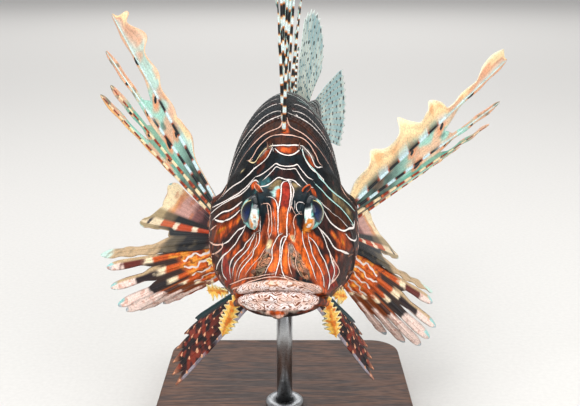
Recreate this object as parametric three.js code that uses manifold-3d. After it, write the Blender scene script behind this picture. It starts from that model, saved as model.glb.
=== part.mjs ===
// A red lionfish, life size, held nose down on a plain display stand. Millimetres, +Z up.
// The fish is drawn in its own frame and then placed: +X is its left side, +Y runs from the snout to the tail
// and +Z is up, with the origin at the tip of the snout. The part's origin is under the middle of the base.
import * as THREE from "three";
import { mergeVertices } from "three/addons/utils/BufferGeometryUtils.js";
import Module from "manifold-3d";

const wasm = await Module();
wasm.setup();

// Driving dimensions
const GAP = 0.3; // between pieces that touch
const BODY_LENGTH = 246; // snout to the root of the tail fin
const HEAD_END = 64;
const TRUNK_END = 150;
const REAR_END = 212;
const NOSE_DOWN = 12; // degrees
const PIVOT = 110; // distance behind the snout of the point that stands over the base's middle
const PIVOT_HEIGHT = 140;
const TAIL_TIP = 315;
const TAIL_SWING = 46; // how far the tip of the tail fin bends to the fish's left
const TAIL_DROOP = 34; // and how far it hangs below the line of the body
const BEND_START = 107;
const MEMBRANE = 0.7; // full thickness of a fin's membrane
const EYE = { x: 10.4, y: 37, z: 26, radius: 8.5, lid: 1.4, inner: 8 };
const MOUTH = { front: 1.5, frontZ: 6.8, corner: 19, cornerZ: -8.4, gap: 0.5 };
const LIPS = { upper: { height: 2.6, radius: 2.4, out: 0.4 }, lower: { height: -3, radius: 2.8, out: 0.2 } };
const NOSTRIL = { x: 10.8, y: 9.6, z: 9.4 };
const HEAD_TURN = 2; // how far the tip of the snout lies to the fish's right
const GILL = { y: 70, z: -9, length: 15.5, height: 29, wall: 5.5 };
const STAND = { length: 190, width: 150, thickness: 12, round: 18, rod: 4.5, collar: 11, collarHeight: 5 };

const RED = { color: 0x9c3d22, roughness: 0.55, metalness: 0 };
const DARK = { color: 0x3a2320, roughness: 0.55, metalness: 0 };
const CREAM = { color: 0xe0a860, roughness: 0.6, metalness: 0 };
const FIN = { color: 0xb98468, roughness: 0.5, metalness: 0 };
const EYEBALL = { color: 0x141a22, roughness: 0.1, metalness: 0 };
const STEEL = { color: 0xb9bcc0, roughness: 0.3, metalness: 1 };
const WOOD = { color: 0x2c2622, roughness: 0.5, metalness: 0 };

// A smooth line through [at, value] pairs, flat beyond the first and the last.
function through(pairs) {
  const slope = pairs.map((_, i) => {
    if (i === 0 || i === pairs.length - 1) return 0;
    const before = (pairs[i][1] - pairs[i - 1][1]) / (pairs[i][0] - pairs[i - 1][0]);
    const after = (pairs[i + 1][1] - pairs[i][1]) / (pairs[i + 1][0] - pairs[i][0]);
    return before * after <= 0 ? 0 : (2 * before * after) / (before + after);
  });
  const last = pairs.length - 1;
  slope[0] = (pairs[1][1] - pairs[0][1]) / (pairs[1][0] - pairs[0][0]);
  slope[last] = (pairs[last][1] - pairs[last - 1][1]) / (pairs[last][0] - pairs[last - 1][0]);
  return (at) => {
    const x = THREE.MathUtils.clamp(at, pairs[0][0], pairs[last][0]);
    let i = 0;
    while (i < last - 1 && x > pairs[i + 1][0]) i += 1;
    const [x0, y0] = pairs[i];
    const [x1, y1] = pairs[i + 1];
    const h = x1 - x0;
    const t = (x - x0) / h;
    const rise = (3 - 2 * t) * t * t;
    return y0 + (y1 - y0) * rise + h * t * (1 - t) * ((1 - t) * slope[i] - t * slope[i + 1]);
  };
}

// A quadratic through three values at 0, 1/2 and 1.
function bow([start, middle, end]) {
  return (t) => start * (1 - t) * (1 - 2 * t) + 4 * middle * t * (1 - t) + end * t * (2 * t - 1);
}

// The body's outline: its back, keel, half width, the height of its widest line, and how full its flanks are.
const back = through([
  [-1.5, 1], [0.5, 4.5], [3, 8], [8, 13], [15, 18], [24, 24], [36, 31.5], [50, 38.5], [66, 45],
  [82, 50.5], [100, 53], [120, 51.5], [145, 46], [175, 35], [205, 25], [228, 19.5], [246, 18.5],
]);
const keel = through([
  [-1.5, -0.5], [0.5, -4.5], [3, -7.6], [8, -11.4], [15, -15.8], [24, -21.4], [36, -27.6], [50, -34],
  [66, -39.5], [82, -42.5], [100, -43.5], [120, -41], [145, -34.5], [175, -22.5], [205, -11.5], [228, -8],
  [246, -8],
]);
const halfWidth = through([
  [-1.5, 3], [0.5, 8.6], [3, 12], [8, 15.7], [15, 18.8], [24, 22], [34, 26], [46, 31], [58, 35],
  [70, 38], [80, 38.5], [84, 37.5], [89, 33.5], [100, 30.5], [120, 29], [145, 25], [175, 17], [205, 9.5],
  [228, 6], [246, 4.5],
]);
const trunkWidth = through([[-1.5, 0], [58, 28], [70, 31], [88, 32], [120, 28], [246, 10]]);
const widest = through([
  [-1.5, 0], [8, -4], [20, -8], [50, -10], [75, -8], [92, -1], [120, 3], [160, 5], [246, 5],
]);
const fullAbove = through([[-1.5, 2], [10, 1.8], [30, 1.5], [60, 1.6], [80, 1.8], [160, 1.8], [246, 2]]);
const fullBelow = through([[-1.5, 2], [30, 2.1], [50, 2.05], [90, 2], [246, 2]]);

// The nape is narrower than the gill covers below it: a share of the half width, by distance and height.
function waist(y, z) {
  const along = THREE.MathUtils.smoothstep(y, 34, 58) * (1 - THREE.MathUtils.smoothstep(y, 82, 100));
  return 1 - 0.19 * along * THREE.MathUtils.smoothstep(z, 3, 18);
}

// Carries a point of the straight fish to its place on the tail's bend.
function bend(p) {
  const t = Math.max(0, (p.y - BEND_START) / (TAIL_TIP - BEND_START));
  p.x += TAIL_SWING * t * t;
  p.z -= TAIL_DROOP * t * t;
  return p;
}

// A point on the body's skin, out by a distance.
// The turn is 0 on the fish's left side and a quarter turn at the back.
function skin(y, turn, out = 0, width = halfWidth) {
  const c = Math.cos(turn);
  const s = Math.sin(turn);
  const full = s > 0 ? fullAbove(y) : fullBelow(y);
  const half = (s > 0 ? back(y) - widest(y) : widest(y) - keel(y)) + out;
  const z = widest(y) + half * Math.sign(s) * Math.abs(s) ** (2 / full);
  const x = (width(y) * waist(y, z) + out) * Math.sign(c) * Math.abs(c) ** (2 / full);
  return bend(new THREE.Vector3(x, y, z));
}

// The skin's half width at a height above or below the widest line.
function flank(y, z) {
  const above = z > widest(y);
  const full = above ? fullAbove(y) : fullBelow(y);
  const share = Math.min(1, Math.abs(z - widest(y)) / (above ? back(y) - widest(y) : widest(y) - keel(y)));
  return halfWidth(y) * waist(y, z) * (1 - share ** full) ** (1 / full);
}

// A geometry as a manifold, turned so that its faces point outwards.
function solid(geometry) {
  const bare = geometry.clone();
  bare.deleteAttribute("normal");
  bare.deleteAttribute("uv");
  const merged = mergeVertices(bare, 1e-4);
  const at = merged.attributes.position.array;
  const corners = new Uint32Array(merged.index.array);
  const [a, b, c] = [new THREE.Vector3(), new THREE.Vector3(), new THREE.Vector3()];
  let volume = 0;
  for (let i = 0; i < corners.length; i += 3) {
    a.fromArray(at, 3 * corners[i]);
    b.fromArray(at, 3 * corners[i + 1]);
    c.fromArray(at, 3 * corners[i + 2]);
    volume += a.dot(b.cross(c));
  }
  if (volume < 0) {
    for (let i = 0; i < corners.length; i += 3) {
      [corners[i], corners[i + 1]] = [corners[i + 1], corners[i]];
    }
  }
  return new wasm.Manifold(new wasm.Mesh({ numProp: 3, vertProperties: at, triVerts: corners }));
}

function join(pieces) {
  return pieces.reduce((whole, piece) => whole.add(piece));
}

function largest(whole) {
  return whole.decompose().reduce((best, piece) => (piece.volume() > best.volume() ? piece : best));
}

function mesh(name, whole, finish) {
  const found = largest(whole).getMesh();
  const geometry = new THREE.BufferGeometry();
  geometry.setAttribute("position", new THREE.BufferAttribute(new Float32Array(found.vertProperties), 3));
  geometry.setIndex(new THREE.BufferAttribute(new Uint32Array(found.triVerts), 1));
  geometry.computeVertexNormals();
  const made = new THREE.Mesh(geometry, new THREE.MeshStandardMaterial(finish));
  made.name = name;
  return made;
}

// A closed tube of rings, each placed by its share of the length and its turn.
// The last value is 0 at the middle of a cap and 1 on a ring.
function loft(around, along, place) {
  const geometry = new THREE.CylinderGeometry(1, 1, 1, around, along);
  const at = geometry.attributes.position;
  for (let i = 0; i < at.count; i += 1) {
    const radius = Math.hypot(at.getX(i), at.getZ(i));
    const turn = Math.atan2(at.getZ(i), at.getX(i));
    const p = place(0.5 - at.getY(i), turn, radius > 0.5 ? 1 : 0);
    at.setXYZ(i, p.x, p.y, p.z);
  }
  return solid(geometry);
}

// A thin closed sheet: place(s, t) is its middle surface and half(s, t) half its thickness there.
// Both faces are split into the same triangles.
function sheet(along, columns, place, half) {
  const across = columns.length - 1;
  const plane = new THREE.PlaneGeometry(1, 1, across, along);
  const count = plane.attributes.position.count;
  const at = new Float32Array(count * 6);
  const step = 1e-3;
  for (let i = 0; i < count; i += 1) {
    const s = Math.floor(i / columns.length) / along;
    const t = columns[i % columns.length];
    const p = place(s, t);
    const alongS = place(Math.min(1, s + step), t).sub(place(Math.max(0, s - step), t));
    const alongT = place(s, Math.min(1, t + step)).sub(place(s, Math.max(0, t - step)));
    const normal = alongS.cross(alongT).normalize().multiplyScalar(half(s, t));
    p.clone().add(normal).toArray(at, 3 * i);
    p.clone().sub(normal).toArray(at, 3 * (count + i));
  }
  const faces = Array.from(plane.index.array);
  const corners = [...faces];
  for (let i = 0; i < faces.length; i += 3) {
    corners.push(count + faces[i], count + faces[i + 2], count + faces[i + 1]);
  }
  const rim = [];
  for (let i = 0; i < across; i += 1) rim.push(i);
  for (let i = 0; i < along; i += 1) rim.push(i * columns.length + across);
  for (let i = across; i > 0; i -= 1) rim.push(along * columns.length + i);
  for (let i = along; i > 0; i -= 1) rim.push(i * columns.length);
  rim.forEach((a, i) => {
    const b = rim[(i + 1) % rim.length];
    corners.push(a, b, count + a, b, count + b, count + a);
  });
  const geometry = new THREE.BufferGeometry();
  geometry.setAttribute("position", new THREE.BufferAttribute(at, 3));
  geometry.setIndex(corners);
  return solid(geometry);
}

// The whole body, from the snout to the tail's root, grown by a distance.
function body(out = 0, width = halfWidth) {
  return loft(26, 34, (share, turn, rim) => {
    const y = -1.5 + (BODY_LENGTH + 1.5) * share ** 1.3;
    const end = share === 0 ? -out : share === 1 ? out : 0;
    const p = rim ? skin(y, turn, out, width) : bend(new THREE.Vector3(0, y, (back(y) + keel(y)) / 2));
    p.y += end;
    return p;
  });
}

// A box between two corners.
function block(low, high) {
  const size = new THREE.Vector3().subVectors(high, low);
  const geometry = new THREE.BoxGeometry(size.x, size.y, size.z);
  geometry.translate(low.x + size.x / 2, low.y + size.y / 2, low.z + size.z / 2);
  return solid(geometry);
}

// A slab of the body between two distances behind the snout.
function slice(from, to) {
  return block(new THREE.Vector3(-200, from, -200), new THREE.Vector3(200, to, 200));
}

function ball(x, y, z, radius, detail = 16) {
  const geometry = new THREE.SphereGeometry(radius, detail, Math.round(detail * 0.6));
  geometry.translate(x, y, z);
  return solid(geometry);
}

// A tube along a curve, with a radius for each share of its length. The curve never runs along the given up.
function tube(curve, radius, sides = 8, steps = 10, up = new THREE.Vector3(0, 0, 1)) {
  return loft(sides, steps, (share, turn, rim) => {
    const p = curve.getPoint(share);
    if (!rim) return p;
    const ahead = curve.getTangent(share);
    const side = new THREE.Vector3().crossVectors(ahead, up).normalize();
    const over = new THREE.Vector3().crossVectors(side, ahead).normalize();
    const r = radius(share);
    return p.add(side.multiplyScalar(r * Math.cos(turn))).add(over.multiplyScalar(r * Math.sin(turn)));
  });
}

// All below and in front of the mouth's slanting plane, moved down by a distance.
function belowMouth(down) {
  const side = new THREE.Shape([
    new THREE.Vector2(-30, mouthPlane(-30) - down),
    new THREE.Vector2(90, mouthPlane(90) - down),
    new THREE.Vector2(90, -120),
    new THREE.Vector2(-30, -120),
  ]);
  const geometry = new THREE.ExtrudeGeometry(side, { depth: 200, bevelEnabled: false });
  // The shape's own plane becomes the fish's side view.
  geometry.applyMatrix4(new THREE.Matrix4().set(0, 0, 1, -100, 1, 0, 0, 0, 0, 1, 0, 0, 0, 0, 0, 1));
  return solid(geometry);
}

// The rounded side view of a gill cover, through the whole body, grown by a distance.
function gillZone(out) {
  const side = new THREE.Shape();
  side.absellipse(GILL.y, GILL.z, GILL.length + out, GILL.height + out, 0, 2 * Math.PI, false, 0);
  const geometry = new THREE.ExtrudeGeometry(side, { depth: 200, bevelEnabled: false, curveSegments: 14 });
  geometry.applyMatrix4(new THREE.Matrix4().set(0, 0, 1, -100, 1, 0, 0, 0, 0, 1, 0, 0, 0, 0, 0, 1));
  return solid(geometry);
}

const wholeBody = body();
const bodyGrown = body(GAP);
const gillInside = body(0, trunkWidth);
const leftHalf = block(new THREE.Vector3(0, -50, -100), new THREE.Vector3(100, 400, 100));
const rightHalf = block(new THREE.Vector3(-100, -50, -100), new THREE.Vector3(0, 400, 100));

// An eye: a ball that is flat inside the head, grown by a distance.
function eyeball(side, out) {
  const from = side > 0 ? EYE.inner - out : -60;
  const to = side > 0 ? 60 : out - EYE.inner;
  const socket = block(new THREE.Vector3(from, -50, -100), new THREE.Vector3(to, 100, 100));
  return ball(side * EYE.x, EYE.y, EYE.z, EYE.radius + out, 14).intersect(socket);
}

// The line that a pectoral fin's rays grow from, and the fleshy pad round it, out by a distance.
const SHOULDER = { top: new THREE.Vector3(33, 88, 2), fall: 39, slant: 3, narrow: 7, widest: 0.3, pad: 5 };

function shoulderAt(side, share) {
  const { top, narrow, widest: full, slant, fall } = SHOULDER;
  const x = top.x - narrow * Math.max(0, (share - full) / (1 - full)) ** 1.4;
  return new THREE.Vector3(side * x, top.y + slant * share, top.z - fall * share);
}

function shoulder(side, out = 0) {
  const line = new THREE.CatmullRomCurve3(
    [-0.12, 0, 0.35, 0.7, 1, 1.12].map((share, i) =>
      shoulderAt(side, share).add(new THREE.Vector3(i % 5 === 0 ? -8 * side : 0, 0, 0)),
    ),
  );
  return tube(line, () => SHOULDER.pad + out, 10, 8, new THREE.Vector3(0, 1, 0));
}

// The height of the mouth's slanting plane at a distance behind the snout.
function mouthPlane(y) {
  const slope = (MOUTH.cornerZ - MOUTH.frontZ) / (MOUTH.corner - MOUTH.front);
  return MOUTH.frontZ + slope * (y - MOUTH.front);
}

// A lip: a tube along one edge of the mouth, from corner to corner, grown by a distance.
function lip({ height, radius, out }, grown = 0) {
  const curve = new THREE.CatmullRomCurve3(
    [-1, -0.72, -0.46, -0.24, 0, 0.24, 0.46, 0.72, 1].map((u) => {
      const y = MOUTH.front + (MOUTH.corner - MOUTH.front) * Math.abs(u) ** 2.2;
      const z = mouthPlane(y) + height;
      const wide = (halfWidth(y) + out) * Math.sin((Math.abs(u) ** 0.75 * Math.PI) / 2);
      return new THREE.Vector3(Math.sign(u) * wide, y - out * (1 - Math.abs(u)), z);
    }),
  );
  return tube(curve, (share) => grown + radius * (0.5 + 0.5 * Math.sin(Math.PI * share) ** 0.6), 7, 14);
}

// The bony ridge over each eye, out by a distance.
function brow(side, out = 0) {
  const ridge = new THREE.CatmullRomCurve3([
    new THREE.Vector3(side * 6, 24, 19.5),
    new THREE.Vector3(side * 7.2, 31, 28.2),
    new THREE.Vector3(side * 7.6, 38, 31.2),
    new THREE.Vector3(side * 8.4, 46, 32),
    new THREE.Vector3(side * 9, 55, 34),
  ]);
  return tube(ridge, (share) => out + 2 + 2 * Math.sin(Math.PI * share), 8, 6);
}

// A ring round an eye, in the plane its pupil looks out of.
function lid(side) {
  const ring = new THREE.TorusGeometry(EYE.radius - 0.1, EYE.lid, 5, 14);
  const looks = new THREE.Vector3(side * 0.9, -0.4, 0.16).normalize();
  ring.applyQuaternion(new THREE.Quaternion().setFromUnitVectors(new THREE.Vector3(0, 0, 1), looks));
  ring.translate(side * EYE.x + 1.6 * looks.x, EYE.y + 1.6 * looks.y, EYE.z + 1.6 * looks.z);
  return solid(ring);
}

// A small thorn that stands out of the skin, from its root to its tip.
function thorn(root, tip, radius) {
  const ahead = new THREE.Vector3().subVectors(tip, root);
  const cone = new THREE.CylinderGeometry(0.25, radius, ahead.length(), 5, 1);
  const upright = new THREE.Vector3(0, 1, 0);
  cone.applyQuaternion(new THREE.Quaternion().setFromUnitVectors(upright, ahead.clone().normalize()));
  const middle = root.clone().addScaledVector(ahead, 0.5);
  cone.translate(middle.x, middle.y, middle.z);
  return solid(cone);
}

// A nostril: a short tube with a blind hole.
function nostril(side) {
  const profile = [[0, -3], [1.9, -3], [1.5, 2.2], [0.8, 2.2], [0.7, 0.4], [0, 0.4]];
  const tubeLet = new THREE.LatheGeometry(profile.map(([r, h]) => new THREE.Vector2(r, h)), 8);
  const looks = new THREE.Vector3(side * 0.45, -0.72, 0.52).normalize();
  tubeLet.applyQuaternion(new THREE.Quaternion().setFromUnitVectors(new THREE.Vector3(0, 1, 0), looks));
  tubeLet.translate(side * NOSTRIL.x, NOSTRIL.y, NOSTRIL.z);
  return solid(tubeLet);
}

// The thorns of the cheek's rear edge, one on the cheek itself, and one behind each brow.
function headThorns(side) {
  const thorns = [-4, -13, -22].map((z, i) => {
    const root = new THREE.Vector3(side * (flank(50, z) - 1), 49 - i, z);
    return thorn(root, root.clone().add(new THREE.Vector3(side * 3.6, 4, -1)), 1.5);
  });
  const cheek = new THREE.Vector3(side * (flank(34, 2) - 0.8), 33, 2);
  thorns.push(thorn(cheek, cheek.clone().add(new THREE.Vector3(side * 2.4, 3.2, 0)), 1.3));
  const nape = new THREE.Vector3(side * 9, 57, 39);
  thorns.push(thorn(nape, nape.clone().add(new THREE.Vector3(side * 0.8, 4.5, 4.5)), 1.7));
  return thorns;
}

function headParts() {
  const mouthCut = belowMouth(MOUTH.gap / 2);
  const aboveMouth = belowMouth(-MOUTH.gap / 2);
  const front = wholeBody.intersect(slice(-50, HEAD_END));
  const gillCut = gillZone(GAP).subtract(body(-GAP, trunkWidth));
  const onHead = [1, -1].flatMap((side) => [brow(side), lid(side), nostril(side), ...headThorns(side)]);
  let head = join([front, lip(LIPS.upper), ...onHead]).subtract(aboveMouth).subtract(gillCut);
  const chin = ball(-0.5, 3.6, -5.6, 3, 10);
  let jaw = join([front, lip(LIPS.lower), chin]).intersect(mouthCut).subtract(gillCut);
  for (const side of [-1, 1]) head = head.subtract(eyeball(side, GAP));
  jaw = jaw.intersect(slice(-50, HEAD_END - 6));
  head = head.subtract(slice(HEAD_END - GAP / 2, 400));
  return [
    mesh("head", head, RED),
    mesh("lower_jaw", jaw, CREAM),
    mesh("eye_left", eyeball(1, 0), EYEBALL),
    mesh("eye_right", eyeball(-1, 0), EYEBALL),
  ];
}

function bodyParts() {
  const gillCut = gillZone(GAP).subtract(body(-GAP, trunkWidth));
  const cover = wholeBody.intersect(gillZone(0)).subtract(gillInside);
  const padded = join([wholeBody, shoulder(1), shoulder(-1)]);
  const cut = (from, to) => padded.subtract(gillCut).intersect(slice(from + GAP / 2, to - GAP / 2));
  return [
    mesh("gill_cover_left", cover.intersect(leftHalf), RED),
    mesh("gill_cover_right", cover.intersect(rightHalf), RED),
    mesh("trunk", cut(HEAD_END, TRUNK_END), DARK),
    mesh("rear_body", cut(TRUNK_END, REAR_END), DARK),
    mesh("tail_stalk", cut(REAR_END, BODY_LENGTH + 1), DARK),
  ];
}

// A fin's closed sheet, of rays side by side. Each ray has columns from edge to edge, with an offset and half
// a thickness each. Neighbouring rays are joined by a web for their first rows. Both faces are split alike.
function comb(rays, rows, webRows) {
  const wide = rays[0].columns.length;
  const deep = rows.length;
  const count = rays.length * wide * deep;
  const at = new Float32Array(count * 6);
  const id = (column, row) => column * deep + row;
  rays.forEach((one, i) => {
    rows.forEach((s, row) => {
      const ahead = one.at(Math.min(1, s + 0.01)).sub(one.at(Math.max(0, s - 0.01))).normalize();
      const across = one.across(s).addScaledVector(ahead, -one.across(s).dot(ahead)).normalize();
      const normal = new THREE.Vector3().crossVectors(ahead, across);
      one.columns.forEach(({ offset, half }, k) => {
        const p = one.at(s).addScaledVector(across, offset(s));
        const j = id(i * wide + k, row);
        p.clone().addScaledVector(normal, half(s)).toArray(at, 3 * j);
        p.clone().addScaledVector(normal, -half(s)).toArray(at, 3 * (count + j));
      });
    });
  });
  const corners = [];
  const sides = new Map();
  const triangle = (a, b, c) => {
    corners.push(a, b, c, count + a, count + c, count + b);
    for (const [from, to] of [[a, b], [b, c], [c, a]]) {
      if (!sides.delete(`${to},${from}`)) sides.set(`${from},${to}`, [from, to]);
    }
  };
  for (let column = 0; column < rays.length * wide - 1; column += 1) {
    const isWeb = column % wide === wide - 1;
    const reach = isWeb ? webRows((column - wide + 1) / wide) : deep - 1;
    for (let row = 0; row < reach; row += 1) {
      const [a, b] = [id(column, row), id(column + 1, row)];
      triangle(a, b, b + 1);
      triangle(a, b + 1, a + 1);
    }
  }
  for (const [a, b] of sides.values()) corners.push(b, a, count + a, b, count + a, count + b);
  const geometry = new THREE.BufferGeometry();
  geometry.setAttribute("position", new THREE.BufferAttribute(at, 3));
  geometry.setIndex(corners);
  return solid(geometry);
}

// A sheet with raised rays and a thin membrane between them, drawn in a little between the rays at its edge.
function pleated(rays, along, thick = 0.85, notch = 0.06) {
  const last = rays.length - 1;
  const columns = Array.from({ length: 2 * last + 1 }, (_, i) => i / (2 * last));
  const place = (s, t) => {
    const i = Math.min(last - 1, Math.floor(t * last + 1e-9));
    const u = t * last - i;
    const short = 1 - notch * 4 * u * (1 - u);
    return rays[i](s * short).lerp(rays[i + 1](s * short), u);
  };
  const isRay = (t) => Math.abs(Math.round(t * last) - t * last) < 0.1;
  return sheet(along, columns, place, (s, t) => (isRay(t) ? thick * (1 - 0.45 * s) : MEMBRANE / 2));
}

// A ray from its root to its tip, bowed by a sideways offset half way.
function ray(root, tip, sag = new THREE.Vector3()) {
  return (s) => new THREE.Vector3().lerpVectors(root, tip, s).addScaledVector(sag, 4 * s * (1 - s));
}

// A direction from its sweep back from sideways and its rise, in degrees.
function heading(side, sweep, rise) {
  const [a, e] = [THREE.MathUtils.degToRad(sweep), THREE.MathUtils.degToRad(rise)];
  return new THREE.Vector3(side * Math.cos(a) * Math.cos(e), Math.sin(a) * Math.cos(e), Math.sin(e));
}

// The pectoral fins' rays, counted from the top: reach, sweep back from sideways and rise, by ray.
// A fin is held open in three groups: long banded rays above, a few in the middle and a hand of fingers below.
// Lobes are the frill's widths along the uppermost ray.
const PECTORAL = {
  left: {
    side: 1,
    reach: through([
      [0, 148], [2, 126], [3, 108], [4, 56], [5, 90], [6, 92], [7, 84], [8, 90], [10, 86], [12, 65],
    ]),
    sweep: through([[0, 45], [2, 44], [3, 48], [4, 71], [5, 60], [6, 36], [7, 27], [8, 20], [10, 16], [12, 25]]),
    rise: through([
      [0, 19], [1, 11], [3, 5], [4, -18], [5, -34], [6, -40], [7, -41.5], [8, -46], [10, -51.5], [12, -56],
    ]),
    lobes: through([
      [0, 2], [0.06, 5], [0.16, 14], [0.26, 13], [0.34, 18], [0.38, 8], [0.46, 12], [0.55, 11],
      [0.62, 5], [0.76, 5], [0.88, 7], [0.94, 11], [0.97, 3], [1, 0.6],
    ]),
  },
  right: {
    side: -1,
    reach: through([
      [0, 142], [1, 132], [2, 114], [3, 120], [4, 88], [5, 90], [6, 91], [7, 77], [9, 73], [11, 62], [12, 48],
    ]),
    sweep: through([[0, 56], [3, 48], [4, 64], [5, 50], [6, 27], [7, 16], [8, 9], [10, 1], [12, 4]]),
    rise: through([
      [0, 32], [1, 26], [3, 20], [4, -8], [5, -17.5], [6, -20.5], [7, -20], [9, -29], [12, -30],
    ]),
    lobes: through([
      [0, 1], [0.16, 1.5], [0.26, 3.2], [0.34, 6.5], [0.38, 5], [0.46, 6.5], [0.55, 6.5], [0.66, 8],
      [0.8, 11.5], [0.87, 9], [0.91, 11], [0.95, 4], [1, 0.6],
    ]),
  },
};
const PECTORAL_RAYS = 13;
// Each web joins two rays up to a share of their length; a finger is the membrane's half width along one ray.
const UPPER_ROWS = [0, 0.08, 0.16, 0.26, 0.34, 0.38, 0.46, 0.55, 0.62, 0.76, 0.88, 0.94, 0.97, 1];
const LOWER_ROWS = [0, 0.14, 0.28, 0.42, 0.54, 0.66, 0.8, 0.91, 0.975, 1];
const PECTORAL_GROUPS = [
  { part: "upper", from: 0, webs: [0.62, 0.62, 0.62], finger: 2.3, rows: UPPER_ROWS },
  { part: "middle", from: 4, webs: [0.91, 0.54], finger: 4.4, rows: LOWER_ROWS },
  { part: "lower", from: 7, webs: [0.66, 0.66, 0.66, 0.66, 0.66], finger: 2.9, rows: LOWER_ROWS },
];
const FINGER = through([[0, 0.28], [0.3, 0.56], [0.66, 0.8], [0.87, 1], [0.94, 0.85], [0.98, 0.55], [1, 0.2]]);

// The line of one pectoral ray, a little bowed.
function pectoralLine({ side, reach, sweep, rise }, i) {
  const root = shoulderAt(side, i / (PECTORAL_RAYS - 1));
  const tip = root.clone().addScaledVector(heading(side, sweep(i), rise(i)), reach(i));
  return ray(root, tip, new THREE.Vector3(0, -0.025, 0.012).multiplyScalar(reach(i)));
}

function pectoralGroup(fin, { part, from, webs, finger, rows }) {
  const count = webs.length + 1;
  const lines = Array.from({ length: count }, (_, i) => pectoralLine(fin, from + i));
  const rays = lines.map((line, i) => {
    const [over, under] = [lines[Math.max(0, i - 1)], lines[Math.min(count - 1, i + 1)]];
    const frilled = part === "upper" && i === 0;
    return {
      at: line,
      across: (s) => under(s).sub(over(s)),
      columns: [
        { offset: (s) => -(frilled ? fin.lobes(s) : finger * FINGER(s)), half: () => MEMBRANE / 2 },
        { offset: () => 0, half: (s) => 1.15 * (1 - 0.6 * s) },
        { offset: (s) => finger * FINGER(s), half: () => MEMBRANE / 2 },
      ],
    };
  });
  return comb(rays, rows, (i) => rows.indexOf(webs[i]));
}

// The rays of a fin on the middle line: their roots, and their tips by length and lean back from upright.
function middleFin({ count, from, to, reach, lean, up, sunk }) {
  return Array.from({ length: count }, (_, i) => {
    const t = i / (count - 1);
    const y = from + (to - from) * t;
    const root = new THREE.Vector3(0, y, (up > 0 ? back(y) : keel(y)) - up * sunk);
    const a = THREE.MathUtils.degToRad(bow(lean)(t));
    const length = bow(reach)(t) + sunk;
    const ahead = new THREE.Vector3(0, Math.sin(a), up * Math.cos(a));
    const straight = ray(root, root.clone().addScaledVector(ahead, length));
    return (s) => bend(straight(s));
  });
}

const DORSAL = { count: 13, from: 78, to: 180, reach: [46, 88, 34], lean: [3, 19, 30], up: 1, sunk: 2.5 };
const SOFT_DORSAL = { count: 11, from: 186, to: 223, reach: [54, 69, 41], lean: [31, 44, 60], up: 1, sunk: 2.5 };
const ANAL = { count: 9, from: 172, to: 219, reach: [26, 50, 28], lean: [28, 44, 64], up: -1, sunk: 2.5 };
const SPINE = { half: 1.15, flag: 4.6, web: 0.18, sway: 2.6, rows: [0, 0.18, 0.42, 0.7, 0.92, 1] };

// The dorsal spines: each carries a flag of membrane down its rear edge, and a low web joins them.
function dorsalSpines() {
  const flag = through([[0, 1], [0.1, 0.7], [0.25, 0.55], [0.55, 0.9], [0.8, 1], [0.93, 0.6], [1, 0.05]]);
  const rays = middleFin(DORSAL).map((line, i) => {
    const sway = Math.tan(THREE.MathUtils.degToRad(SPINE.sway * Math.sin(2.4 * i + 2.2)));
    const reach = line(1).distanceTo(line(0));
    const thin = (s) => SPINE.half * (1 - 0.75 * s);
    return {
      at: (s) => line(s).add(new THREE.Vector3(sway * reach * s, 0, 0)),
      across: () => new THREE.Vector3(0, 1, 0.2),
      columns: [
        { offset: (s) => -thin(s), half: (s) => 0.3 + 0.2 * (1 - s) },
        { offset: () => 0, half: thin },
        { offset: thin, half: (s) => 0.3 + 0.2 * (1 - s) },
        { offset: (s) => thin(s) + SPINE.flag * flag(s), half: () => 0.3 },
      ],
    };
  });
  return comb(rays, SPINE.rows, () => SPINE.rows.indexOf(SPINE.web));
}

const TAIL_FIN = { count: 12, root: 241, middle: 5.2, half: 10.5, reach: 74, round: 6, spread: 17 };

function tailFin() {
  const rays = Array.from({ length: TAIL_FIN.count }, (_, i) => {
    const t = (i / (TAIL_FIN.count - 1)) * 2 - 1;
    const root = new THREE.Vector3(0, TAIL_FIN.root, TAIL_FIN.middle + TAIL_FIN.half * t);
    const a = THREE.MathUtils.degToRad(TAIL_FIN.spread * t);
    const length = TAIL_FIN.reach - TAIL_FIN.round * t * t;
    const ahead = new THREE.Vector3(0, Math.cos(a), Math.sin(a));
    const straight = ray(root, root.clone().addScaledVector(ahead, length));
    return (s) => bend(straight(s));
  });
  return pleated(rays, 5, 1);
}

// Each pelvic fin's reach, from its leading spine to its last ray, and the angles out and back from straight down.
const PELVIC = {
  left: { side: 1, reach: [82, 70, 54], out: [31, 34, 34], back: [7, 11, 19] },
  right: { side: -1, reach: [91, 80, 58], out: [36, 42, 45], back: [6, 9, 17] },
};
const PELVIC_ROOT = { count: 6, y: 74, spacing: 2.4, x: 9, sunk: 5 };

function pelvicFin({ side, reach, out, back: sweep }) {
  const rays = Array.from({ length: PELVIC_ROOT.count }, (_, i) => {
    const t = i / (PELVIC_ROOT.count - 1);
    const y = PELVIC_ROOT.y + PELVIC_ROOT.spacing * i;
    const root = new THREE.Vector3(side * (PELVIC_ROOT.x + 3 * t), y, keel(y) + PELVIC_ROOT.sunk);
    const [o, a] = [bow(out)(t), bow(sweep)(t)].map(THREE.MathUtils.degToRad);
    const down = new THREE.Vector3(side * Math.sin(o), 0, -Math.cos(o)).multiplyScalar(Math.cos(a));
    down.y = Math.sin(a);
    return ray(root, root.clone().addScaledVector(down, bow(reach)(t)));
  });
  return pleated(rays, 6, 1);
}

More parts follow.
